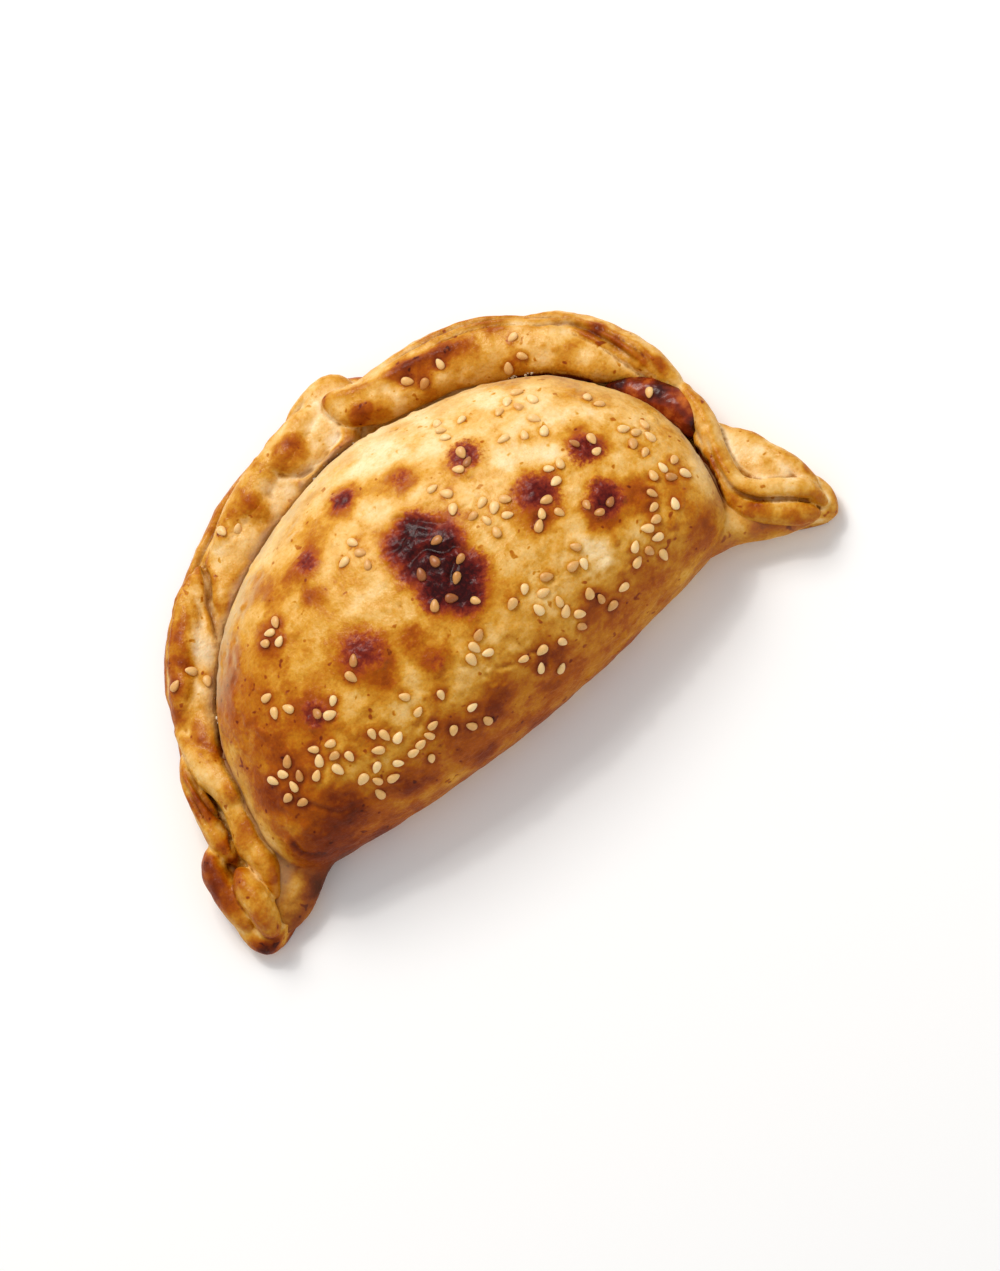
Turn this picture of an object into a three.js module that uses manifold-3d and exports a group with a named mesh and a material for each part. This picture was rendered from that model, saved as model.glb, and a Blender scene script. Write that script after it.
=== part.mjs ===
// Baked half-moon turnover (empanada): a plump pastry belly whose seam is folded over into a rim of two
// flaps, a long roll and twisted ropes, with a pinched tail at each end, sesame seeds baked on, and one lump
// of filling that boiled out of the seam. The crust and its seeds are one solid, and the lump is a second.
// Millimetres, +Z up. X runs along the straight fold from the left tail to the right tail, Y from the fold
// to the middle of the curved rim. The finished group is moved so its origin is the middle of its base.

import * as THREE from 'three';
import { LoftGeometry } from 'three/addons/geometries/LoftGeometry.js';
import { mergeVertices } from 'three/addons/utils/BufferGeometryUtils.js';
import Module from 'manifold-3d';

const wasm = await Module();
wasm.setup();

// Belly: the filled part, a dome over a rounded half-moon that is fuller at its right end
const BELLY_HEIGHT = 38;
const BELLY_WIDEST_Z = 11;
const BELLY_TUCK = 5;
const BELLY_CENTRE = new THREE.Vector2(-2, 34);
const BELLY_FULLNESS = { across: 2.35, up: 2.05 };
const CROWN_HALF_LENGTH = 60;
const CROWN_HALF_DEPTH = 36;
const BELLY_OUTLINE = [
  [55.5, 9], [60, 16], [61.8, 28], [60, 40], [55, 49.5], [46, 60.3], [34, 67.6], [18, 72],
  [2.5, 74.2], [-12, 72.3], [-25.5, 68.3], [-40.5, 60], [-51.6, 49], [-58, 38], [-61, 25],
  [-62.3, 14], [-58.6, 6.6], [-44, 3.6], [-20, 0.9], [-4, 0.5], [14, 1.5], [30, 3.5], [46, 6],
];

// Seam sheet: the two pressed layers of dough that run under the rim and out into both tails. Its edge is
// rounded by rings of [share of the edge pulled in, share of the height].
const SHEET_HEIGHT = 6;
const SHEET_EDGE = 3;
const SHEET_EDGE_RINGS = [[0.4, 0], [0, 0.5], [0.4, 0.8], [1.4, 1]];
const RIGHT_TAIL_OUTLINE = [
  [57, 9], [60, 6], [66, 3.4], [72, 0], [77, -1.6], [79.6, 3], [77.6, 11.5], [74.5, 19], [70, 26.5],
];
const RIM_OUTLINE = [
  [68.6, 33], [68.6, 45], [66.4, 56], [58, 67.4], [46, 78], [32, 85.2], [18, 88.4], [12.5, 92.2],
  [7.5, 94.6], [1, 94], [-10, 91.6], [-26, 87.6], [-40, 80.6], [-53.2, 71], [-61.2, 60.8], [-65.2, 50.5],
];
const LEFT_TAIL_OUTLINE = [
  [-69.8, 40], [-71.6, 29.5], [-75.6, 22.5], [-79.2, 17], [-79.2, 9], [-79, 1], [-76, -2], [-69, 0.2],
  [-63, 3], [-58.5, 8],
];
const SHEET_UNDER_BELLY = [[-36, 10], [0, 9], [36, 10]];

// Folds of the seam. Each is a soft lobe along a spine of [x, y, z] points, with its width and height at the
// start, middle and end, and a tilt in degrees about the way it runs.
const FOLDS = {
  tail_left: {
    spine: [[-50, 17, 8], [-62, 11, 7], [-70, 6, 6], [-76.5, 1.6, 4]],
    width: [24, 15, 6], height: [17, 12, 6],
  },
  tail_right: {
    spine: [[46, 17, 8], [60, 10, 6], [68, 5, 5], [75.5, 0.8, 4]],
    width: [24, 11, 6], height: [17, 10, 6],
  },
  flap_upper: {
    spine: [[10, 85.6, 9], [-6, 82, 9], [-21.5, 78.6, 8.5], [-34, 72, 8], [-46, 61.5, 6.5]],
    width: [17, 15, 6], height: [8, 9, 5], tilt: -6,
  },
  flap_corner: {
    spine: [[-4, 88.5, 5.5], [4, 90.6, 7], [9.4, 90.8, 6.5], [12, 87.5, 5]],
    width: [4, 7.5, 5], height: [6, 8, 6],
  },
  flap_lower: {
    spine: [[-39, 76, 7.5], [-47, 67.5, 8.5], [-53, 59.5, 8.5], [-58.2, 51.5, 8.5], [-63, 42.5, 7]],
    width: [6, 13, 8], height: [5, 9, 6], tilt: -6,
  },
  rope_left_inner: {
    spine: [
      [-62.5, 49, 7.5], [-63.2, 41, 9.5], [-63.6, 31, 10.5], [-65.8, 21.5, 10], [-66.8, 13, 9],
      [-68.8, 4.5, 7],
    ],
    width: [4, 8, 4.5], height: [5, 8, 6],
  },
  rope_left_outer: {
    spine: [[-65.8, 45, 6.5], [-68.3, 37.5, 7.5], [-69.7, 31, 7.5], [-70.8, 24, 7.5], [-70.6, 17.5, 6.5]],
    width: [3, 5, 4], height: [5, 7, 6],
  },
  bump_left: {
    spine: [[-72.6, 24.5, 5.5], [-75.6, 19, 6], [-76.6, 12, 5.5], [-77.2, 4, 4]],
    width: [4, 6.5, 3], height: [6, 8, 5],
  },
  tongue_left: {
    spine: [[-69.8, 16.5, 8.5], [-72, 11, 9.5], [-72.9, 4, 9], [-74.3, -1.8, 6.5]],
    width: [3.5, 8, 6.5], height: [5, 8, 6],
  },
  roll_top: {
    spine: [
      [4.5, 87.6, 12], [11, 82.4, 11.5], [21, 80.8, 11], [31.5, 79, 10.5], [41.5, 74.4, 10], [50, 67.4, 10],
      [56, 58.6, 10], [60, 51, 9.5], [62.4, 45.6, 9],
    ],
    width: [11, 13.6, 3.5], height: [8, 11, 6],
  },
  roll_outer: {
    spine: [[42, 79.4, 7.5], [53, 71, 8.5], [60.6, 61.5, 9.5], [64.6, 52.5, 10], [66, 46, 10], [67, 40, 9]],
    width: [3, 8, 5], height: [4, 9, 7],
  },
  rope_right_inner: {
    spine: [
      [64.3, 31, 8.5], [63, 23.3, 9.5], [62.4, 15, 9.5], [64, 9.2, 9], [70.6, 2.8, 8], [73.8, -1.4, 6.5],
    ],
    width: [4, 4.6, 5], height: [5, 7, 6],
  },
  rope_right_outer: {
    spine: [
      [69, 40, 7.5], [68.4, 32, 9], [66.6, 24, 10], [65.2, 15.5, 10], [66.4, 10, 9.5], [71, 6.6, 9],
      [74.6, 4, 8], [75.6, -1, 6],
    ],
    width: [3, 4.6, 4], height: [5, 7, 5],
  },
  web_lip: {
    spine: [[68.5, 31, 5], [71, 22.5, 6], [74.2, 16.5, 6.5], [76.2, 10, 6.5], [77, 4.5, 6]],
    width: [3, 4.5, 4], height: [6, 7, 6],
  },
};
const BURST_FILLING = {
  spine: [[56, 50, 8.5], [60, 45, 9.5], [63.8, 39.5, 10], [65, 34.5, 10], [63.8, 30, 8.5]],
  width: [5, 9, 6], height: [7, 9, 7],
};
const FILLING_GAP = 0.3;

// How soon a lobe reaches its full section, and the share of its spine left beyond its first and last ones
const LOBE_END_FULLNESS = 5;
const LOBE_END_SHARE = 0.03;

// Scorched blisters that stand up from the belly, as [x, y, radius, rise]
const BLISTERS = [
  [3, 32, 11.5, 0.9], [-22, 27, 7.5, 0.8], [27.5, 32.5, 6.5, 0.8], [38.5, 23.5, 6.5, 0.7], [22, 49, 6, 0.6],
  [42.5, 35.5, 5.5, 0.6], [-36, 25, 6, 0.6], [-20, 51, 5, 0.6], [-4.5, 59, 5, 0.5], [7.5, 53.5, 4.5, 0.4],
  [-35, 44, 5, 0.4], [-9.5, 17, 4.5, 0.4], [45.5, 20, 4, 0.4],
];

// Sesame seeds, in groups that follow a turning spiral about [x, y], each with a count and a reach in X and Y
const SEED = { length: 3, width: 1.9, thickness: 1, sink: 0.35 };
const SEED_GROUPS = [
  [36.5, 54.5, 5, 4.5, 3.6], [22.5, 58.6, 4, 5.5, 3], [34.5, 46.6, 4, 6, 3.6], [49.5, 44.4, 2, 3.6, 2.4],
  [43, 36, 3, 3.6, 3], [52.5, 32, 6, 3.6, 4.6], [53.3, 22.6, 5, 4, 3.2], [47.6, 17, 4, 5.2, 3.2],
  [40.3, 11.4, 6, 4.8, 3.4], [20.5, 48.3, 3, 2.6, 2.6], [12.5, 44.5, 3, 2, 4.6], [18.5, 34, 7, 4.4, 5.2],
  [33.7, 34.3, 3, 2.6, 3.2], [28, 27.8, 4, 4.8, 2.8], [37, 22.4, 3, 3.2, 2.8], [26.8, 16.5, 3, 2.2, 3.6],
  [15, 15.6, 6, 6, 4.4], [23.5, 8, 7, 8, 3], [9, 6, 5, 6.4, 3], [-0.7, 13.8, 4, 3.4, 2.8],
  [-17, 12.4, 4, 6.5, 4.5], [-12, 5.4, 4, 4.8, 2.8], [3, 29, 8, 6.5, 9.5], [-10, 45, 4, 4.4, 4],
  [-23.6, 26.3, 2, 2.8, 2.4], [-33.2, 44, 4, 3, 3.4], [-42, 31, 3, 3, 4], [-33.6, 23.3, 3, 2.8, 2.8],
  [-50, 18, 7, 4.2, 5], [-40, 15.6, 7, 5.2, 4], [-28.4, 11.6, 4, 3.8, 2.8], [-22.5, 6.2, 4, 3, 3],
  [-33.4, 7.2, 6, 5, 3], [26, 76.4, 3, 5.5, 3], [44.5, 68.5, 3, 4, 4.4], [-28.5, 77, 2, 3.4, 1.6],
  [-55, 56, 3, 4.4, 4],
];
const FILLING_SEED_GROUPS = [[61.4, 42.6, 1, 0, 0]];
const GOLDEN_ANGLE = Math.PI * (3 - Math.sqrt(5));
const SEED_HEADING_RATE = 1.7;

// The space above the surface that the turnover was baked on
const SPACE_SIDE = 400;
const SPACE_HEIGHT = 100;
const BELOW_BASE = -1;

// Mesh fineness
const BELLY_SIDES = 56;
const BELLY_RINGS = 11;
const TUCK_RINGS = 3;
const CROWN_SHARE = 0.03;
const SHEET_SIDES = 68;
const LOBE_SIDES = 8;
const LOBE_RING_STEP = 4.6;
const LOBE_RINGS_LEAST = 8;
const SEED_SIDES = 5;
const SEED_RINGS = 3;

// A closed geometry as a solid that can be joined and cut
function solidOf(geometry) {
  const bare = new THREE.BufferGeometry();
  bare.setAttribute('position', geometry.getAttribute('position'));
  bare.setIndex(geometry.index);
  const merged = mergeVertices(bare, 1e-4);
  const index = merged.index.array;
  const faces = [];
  for (let i = 0; i < index.length; i += 3) {
    const [a, b, c] = index.subarray(i, i + 3);
    if (a !== b && b !== c && c !== a) faces.push(a, b, c);
  }
  return new wasm.Manifold(new wasm.Mesh({
    numProp: 3,
    vertProperties: merged.attributes.position.array,
    triVerts: new Uint32Array(faces),
  }));
}

function loft(sections) {
  return solidOf(new LoftGeometry(sections, { capStart: true, capEnd: true }));
}

function geometryOf(solid) {
  const mesh = solid.getMesh();
  const geometry = new THREE.BufferGeometry();
  geometry.setAttribute('position', new THREE.BufferAttribute(mesh.vertProperties, 3));
  geometry.setIndex(new THREE.BufferAttribute(mesh.triVerts, 1));
  geometry.computeVertexNormals();
  return geometry;
}

// A smooth closed line through plan points, as evenly spaced points
function closedOutline(points, sides) {
  const corners = points.map(([x, y]) => new THREE.Vector3(x, y, 0));
  const line = new THREE.CatmullRomCurve3(corners, true, 'centripetal');
  return line.getSpacedPoints(sides).slice(0, sides);
}

// A ring at height z: the outline pulled in towards the centre by a distance
function ring(outline, inset, z) {
  return outline.map((point) => {
    const arm = new THREE.Vector2(point.x, point.y).sub(BELLY_CENTRE);
    arm.setLength(arm.length() - inset).add(BELLY_CENTRE);
    return new THREE.Vector3(arm.x, arm.y, z);
  });
}

// A ring of the dome: the outline shrunk to a share, and turning into an oval towards the crown
function domeRing(outline, share, z) {
  return outline.map((point) => {
    const arm = new THREE.Vector2(point.x, point.y).sub(BELLY_CENTRE);
    const reach = arm.length();
    const oval = reach / Math.hypot(arm.x / CROWN_HALF_LENGTH, arm.y / CROWN_HALF_DEPTH);
    arm.setLength(THREE.MathUtils.lerp(oval, reach, share * share) * share).add(BELLY_CENTRE);
    return new THREE.Vector3(arm.x, arm.y, z + blisterRise(arm.x, arm.y));
  });
}

function blisterRise(x, y) {
  return BLISTERS.reduce((sum, [bx, by, radius, rise]) => {
    const share = Math.hypot(x - bx, y - by) / radius;
    return share < 1 ? sum + rise * (1 - share * share) ** 2 : sum;
  }, 0);
}

function belly() {
  const outline = closedOutline(BELLY_OUTLINE, BELLY_SIDES);
  const rings = [ring(outline, BELLY_TUCK, BELOW_BASE)];
  for (let i = 0; i <= TUCK_RINGS; i += 1) {
    const angle = i / TUCK_RINGS * Math.PI / 2;
    const inset = BELLY_TUCK * (1 - Math.sin(angle));
    rings.push(ring(outline, inset, BELLY_WIDEST_Z * (1 - Math.cos(angle))));
  }
  for (let i = 1; i <= BELLY_RINGS; i += 1) {
    const angle = i / BELLY_RINGS * Math.PI / 2;
    const share = Math.max(Math.cos(angle) ** (2 / BELLY_FULLNESS.across), CROWN_SHARE);
    const rise = (BELLY_HEIGHT - BELLY_WIDEST_Z) * Math.sin(angle) ** (2 / BELLY_FULLNESS.up);
    rings.push(domeRing(outline, share, BELLY_WIDEST_Z + rise));
  }
  return loft(rings);
}

function seamSheet() {
  const corners = [...RIGHT_TAIL_OUTLINE, ...RIM_OUTLINE, ...LEFT_TAIL_OUTLINE, ...SHEET_UNDER_BELLY];
  const outline = closedOutline(corners, SHEET_SIDES);
  const edge = SHEET_EDGE_RINGS.map(([pull, rise]) => ring(outline, SHEET_EDGE * pull, SHEET_HEIGHT * rise));
  return loft([ring(outline, SHEET_EDGE, BELOW_BASE), ...edge]);
}

// The value at a share of the way along, from values at the start, middle and end
function along([start, middle, end], share) {
  return THREE.MathUtils.lerp(share < 0.5 ? start : end, middle, Math.sin(share * Math.PI));
}

// A lobe of dough: oval sections along a spine, rounded off at both ends
function lobe({ spine, width, height, tilt = 0 }, grow = 0) {
  const points = spine.map((point) => new THREE.Vector3(...point));
  const line = new THREE.CatmullRomCurve3(points, false, 'centripetal');
  const count = Math.max(LOBE_RINGS_LEAST, Math.round(line.getLength() / LOBE_RING_STEP));
  const lean = THREE.MathUtils.degToRad(tilt);
  const sections = [];
  for (let i = 0; i <= count; i += 1) {
    const turn = THREE.MathUtils.lerp(LOBE_END_SHARE, 1 - LOBE_END_SHARE, i / count) * Math.PI;
    const share = 0.5 - 0.5 * Math.cos(turn);
    const rounding = Math.sqrt(1 - Math.abs(Math.cos(turn)) ** LOBE_END_FULLNESS);
    const middle = line.getPointAt(share);
    const way = line.getTangentAt(share);
    const side = new THREE.Vector3(-way.y, way.x, 0).normalize();
    const up = new THREE.Vector3().crossVectors(way, side).applyAxisAngle(way, lean);
    side.applyAxisAngle(way, lean);
    const halfWidth = along(width, share) / 2 * rounding + grow;
    const halfHeight = along(height, share) / 2 * rounding + grow;
    const section = [];
    for (let j = 0; j < LOBE_SIDES; j += 1) {
      const angle = j / LOBE_SIDES * 2 * Math.PI;
      const point = middle.clone().addScaledVector(side, halfWidth * Math.cos(angle));
      section.push(point.addScaledVector(up, halfHeight * Math.sin(angle)));
    }
    sections.push(section);
  }
  return loft(sections);
}

function aboveBase(solid) {
  const space = new THREE.BoxGeometry(SPACE_SIDE, SPACE_SIDE, SPACE_HEIGHT);
  return solid.intersect(solidOf(space.translate(0, 0, SPACE_HEIGHT / 2)));
}

// Plan positions of the seeds, and the way each one points
function seedSpots(groups) {
  const spots = [];
  groups.forEach(([x, y, count, reachX, reachY], group) => {
    for (let i = 0; i < count; i += 1) {
      const turn = GOLDEN_ANGLE * (i + 1) + group;
      const share = Math.sqrt((i + 0.5) / count);
      spots.push({
        x: x + reachX * share * Math.cos(turn),
        y: y + reachY * share * Math.sin(turn),
        heading: turn * SEED_HEADING_RATE,
      });
    }
  });
  return spots;
}

// A body with its seeds: each is dropped straight down on it, laid flat and sunk in a little
function seeded(body, groups) {
  const target = new THREE.Mesh(geometryOf(body));
  const down = new THREE.Vector3(0, 0, -1);
  const upright = new THREE.Vector3(0, 0, 1);
  const seeds = seedSpots(groups).map(({ x, y, heading }) => {
    const drop = new THREE.Raycaster(new THREE.Vector3(x, y, SPACE_HEIGHT), down);
    const hit = drop.intersectObject(target)[0];
    const lie = new THREE.Quaternion().setFromUnitVectors(upright, hit.face.normal);
    const shape = new THREE.SphereGeometry(0.5, SEED_SIDES, SEED_RINGS).rotateX(Math.PI / 2);
    shape.scale(SEED.length, SEED.width, SEED.thickness).rotateZ(heading).applyQuaternion(lie);
    const centre = hit.point.addScaledVector(hit.face.normal, SEED.thickness / 2 - SEED.sink);
    return solidOf(shape.translate(centre.x, centre.y, centre.z));
  });
  return wasm.Manifold.union([body, ...seeds]);
}

function named(name, solid, color, roughness) {
  const material = new THREE.MeshStandardMaterial({ color, roughness, metalness: 0 });
  const mesh = new THREE.Mesh(geometryOf(solid), material);
  mesh.name = name;
  return mesh;
}

const folds = Object.values(FOLDS).map((fold) => lobe(fold));
const dough = aboveBase(wasm.Manifold.union([belly(), seamSheet(), ...folds]));
const crust = seeded(dough.subtract(lobe(BURST_FILLING, FILLING_GAP)), SEED_GROUPS);
const filling = seeded(lobe(BURST_FILLING), FILLING_SEED_GROUPS);

const turnover = new THREE.Group();
turnover.add(named('crust', crust, 0xd9a257, 0.45), named('burst_filling', filling, 0x5a2416, 0.3));

const box = new THREE.Box3().setFromObject(turnover);
const middle = box.getCenter(new THREE.Vector3());
turnover.position.set(-middle.x, -middle.y, -box.min.z);

export default turnover;
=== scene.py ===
# %% [markdown]
# # A baked empanada
# This lesson makes one baked empanada: a plump half-moon of egg-washed pastry with a folded rim, scorched
# blisters, sesame seeds and a lump of filling that boiled out of the seam.
# The solid model is loaded first, as a fixed frame. It has the right form and size, but it is coarse and
# plain, so finer pieces are made here in its place.

import math
from collections import namedtuple

import bmesh
import bpy
import numpy as np
from mathutils import Matrix, Vector, noise
from mathutils.bvhtree import BVHTree
from mathutils.kdtree import KDTree


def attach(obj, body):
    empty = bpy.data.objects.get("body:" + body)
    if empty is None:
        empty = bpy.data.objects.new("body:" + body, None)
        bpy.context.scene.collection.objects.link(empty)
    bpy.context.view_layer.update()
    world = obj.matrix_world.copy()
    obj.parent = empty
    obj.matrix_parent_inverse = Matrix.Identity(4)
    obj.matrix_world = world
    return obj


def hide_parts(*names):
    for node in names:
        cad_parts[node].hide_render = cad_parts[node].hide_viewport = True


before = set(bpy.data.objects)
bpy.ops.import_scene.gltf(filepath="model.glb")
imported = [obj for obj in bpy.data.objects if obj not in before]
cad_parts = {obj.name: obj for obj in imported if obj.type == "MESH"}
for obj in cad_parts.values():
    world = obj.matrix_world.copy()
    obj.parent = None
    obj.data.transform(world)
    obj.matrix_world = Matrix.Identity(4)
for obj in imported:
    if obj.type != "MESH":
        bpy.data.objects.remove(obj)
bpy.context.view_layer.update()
print("solids:", sorted(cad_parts))

# %% [markdown]
# ## Working in millimetres
# Pastry is easier to think of in millimetres, on a plan: X runs along the straight fold, Y from the fold to
# the middle of the rim, Z up from the tray. Everything is made on this plan and moved into the frame's
# metres at the end.
# All the soft lines of the dough go through a few given points. A curve object with handles would do, but a
# line that is worked out from the points alone needs no handles. Its speed at each point goes by the root of
# the distance to the next, which keeps it from looping between close points.

# %% Soft lines through points
def smooth_line(points, closed=False, steps=16):
    points = np.array(points, float)
    if closed:
        knots = np.vstack([points[-1:], points, points[:2]])
    else:
        knots = np.vstack([2 * points[:1] - points[1:2], points, 2 * points[-1:] - points[-2:-1]])
    t = np.linspace(0, 1, steps, endpoint=False)[:, None]
    spans = []
    for before, start, end, after in zip(knots, knots[1:], knots[2:], knots[3:]):
        pairs = ((before, start), (start, end), (end, after))
        a, b, c = (math.sqrt(np.linalg.norm(second - first)) for first, second in pairs)
        leave = b * ((start - before) / a - (end - before) / (a + b) + (end - start) / b)
        arrive = b * ((end - start) / b - (after - start) / (b + c) + (after - end) / c)
        spans.append(
            (2 * t**3 - 3 * t**2 + 1) * start + (t**3 - 2 * t**2 + t) * leave
            + (3 * t**2 - 2 * t**3) * end + (t**3 - t**2) * arrive
        )
    line = np.vstack(spans)
    return line if closed else np.vstack([line, points[-1:]])


def length_of(line):
    return np.linalg.norm(np.diff(line, axis=0), axis=1).sum()


def at_shares(line, shares):
    """Points at shares of a line's length."""
    run = np.concatenate([[0], np.cumsum(np.linalg.norm(np.diff(line, axis=0), axis=1))])
    return np.column_stack([np.interp(np.asarray(shares) * run[-1], run, axis) for axis in line.T])


def outline_of(points, sides):
    line = smooth_line(points, closed=True)
    return at_shares(np.vstack([line, line[:1]]), np.arange(sides) / sides)


print("an arch through 3 points has", len(smooth_line([(0, 0), (1, 1), (2, 0)])), "points")

# %% [markdown]
# ## The belly
# The belly is the filled part. It bulges over its own base, is widest a little above the tray, and its top
# is a soft oval crown. A squashed ball has none of that, so the belly is a loft: a stack of rings, each the
# half-moon outline pulled in by a rule.

# %% Belly rings
BELLY_CENTRE = np.array((-2.0, 34.0))
BELLY_HEIGHT = 38.0
BELLY_WIDEST_Z = 11.0
BELLY_TUCK = 5.0
FULL_ACROSS = 2.35
FULL_UP = 2.05
CROWN_OVAL = np.array((60.0, 36.0))
SMALLEST_RING = 0.01
BELOW_TRAY = -2.0
BELLY_OUTLINE = outline_of([
    (55.5, 9), (60, 16), (61.8, 28), (60, 40), (55, 49.5), (46, 60.3), (34, 67.6), (18, 72),
    (2.5, 74.2), (-12, 72.3), (-25.5, 68.3), (-40.5, 60), (-51.6, 49), (-58, 38), (-61, 25),
    (-62.3, 14), (-58.6, 6.6), (-44, 3.6), (-20, 0.9), (-4, 0.5), (14, 1.5), (30, 3.5), (46, 6),
], 240)


def ring(outline, inset, z):
    arm = outline - BELLY_CENTRE
    reach = np.linalg.norm(arm, axis=1, keepdims=True)
    return np.column_stack([BELLY_CENTRE + arm * (1 - inset / reach), np.full(len(arm), z)])


def dome_ring(outline, share, z):
    arm = outline - BELLY_CENTRE
    oval = 1 / np.linalg.norm(arm / CROWN_OVAL, axis=1, keepdims=True)
    blend = oval + (1 - oval) * share * share
    return np.column_stack([BELLY_CENTRE + arm * blend * share, np.full(len(arm), z)])


belly = [ring(BELLY_OUTLINE, BELLY_TUCK, BELOW_TRAY)]
for angle in np.linspace(0, math.pi / 2, 9):
    inset = BELLY_TUCK * (1 - math.sin(angle))
    belly.append(ring(BELLY_OUTLINE, inset, BELLY_WIDEST_Z * (1 - math.cos(angle))))
for angle in np.linspace(0, math.pi / 2, 41)[1:]:
    share = max(math.cos(angle) ** (2 / FULL_ACROSS), SMALLEST_RING)
    rise = (BELLY_HEIGHT - BELLY_WIDEST_Z) * math.sin(angle) ** (2 / FULL_UP)
    belly.append(dome_ring(BELLY_OUTLINE, share, BELLY_WIDEST_Z + rise))
print("belly rings:", len(belly))

# %% [markdown]
# ## The seam sheet
# Where the two layers of dough are pressed together they make a flat sheet, which runs under the whole rim
# and out into a pinched tail at each end. A plane with a thickness would have square edges, so the sheet is
# a low loft whose rings round its edge off.

# %% Seam sheet rings
SHEET_HEIGHT = 6.0
SHEET_EDGE = 3.0
SHEET_ROUNDING = 3.6
SHEET_OUTLINE = outline_of([
    (57, 9), (60, 6), (66, 3.4), (72, 0), (77, -1.6), (79.6, 3), (77.6, 11.5), (74.5, 19), (70, 26.5),
    (68.6, 33), (68.6, 45), (66.4, 56), (58, 67.4), (46, 78), (32, 85.2), (18, 88.4), (12.5, 92.2),
    (7.5, 94.6), (1, 94), (-10, 91.6), (-26, 87.6), (-40, 80.6), (-53.2, 71), (-61.2, 60.8),
    (-65.2, 50.5), (-69.8, 40), (-71.6, 29.5), (-75.6, 22.5), (-79.2, 17), (-79.2, 9), (-79, 1),
    (-76, -2), (-69, 0.2), (-63, 3), (-58.5, 8), (-36, 10), (0, 9), (36, 10),
], 300)
sheet = [ring(SHEET_OUTLINE, SHEET_EDGE, BELOW_TRAY)]
for angle in np.linspace(-0.5, math.pi / 2, 12):
    height = SHEET_HEIGHT * (0.5 + 0.5 * math.sin(angle))
    sheet.append(ring(SHEET_OUTLINE, SHEET_ROUNDING * (1 - math.cos(angle)), height))
print("sheet rings:", len(sheet))

# %% [markdown]
# ## The folds of the rim
# The seam is folded over itself into two flaps, one long roll and a pair of twisted ropes. Each fold is a
# soft lobe: oval sections along a spine. It is told by its spine, by its width and height at the start,
# the middle and the end, and by how far it leans.

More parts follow.
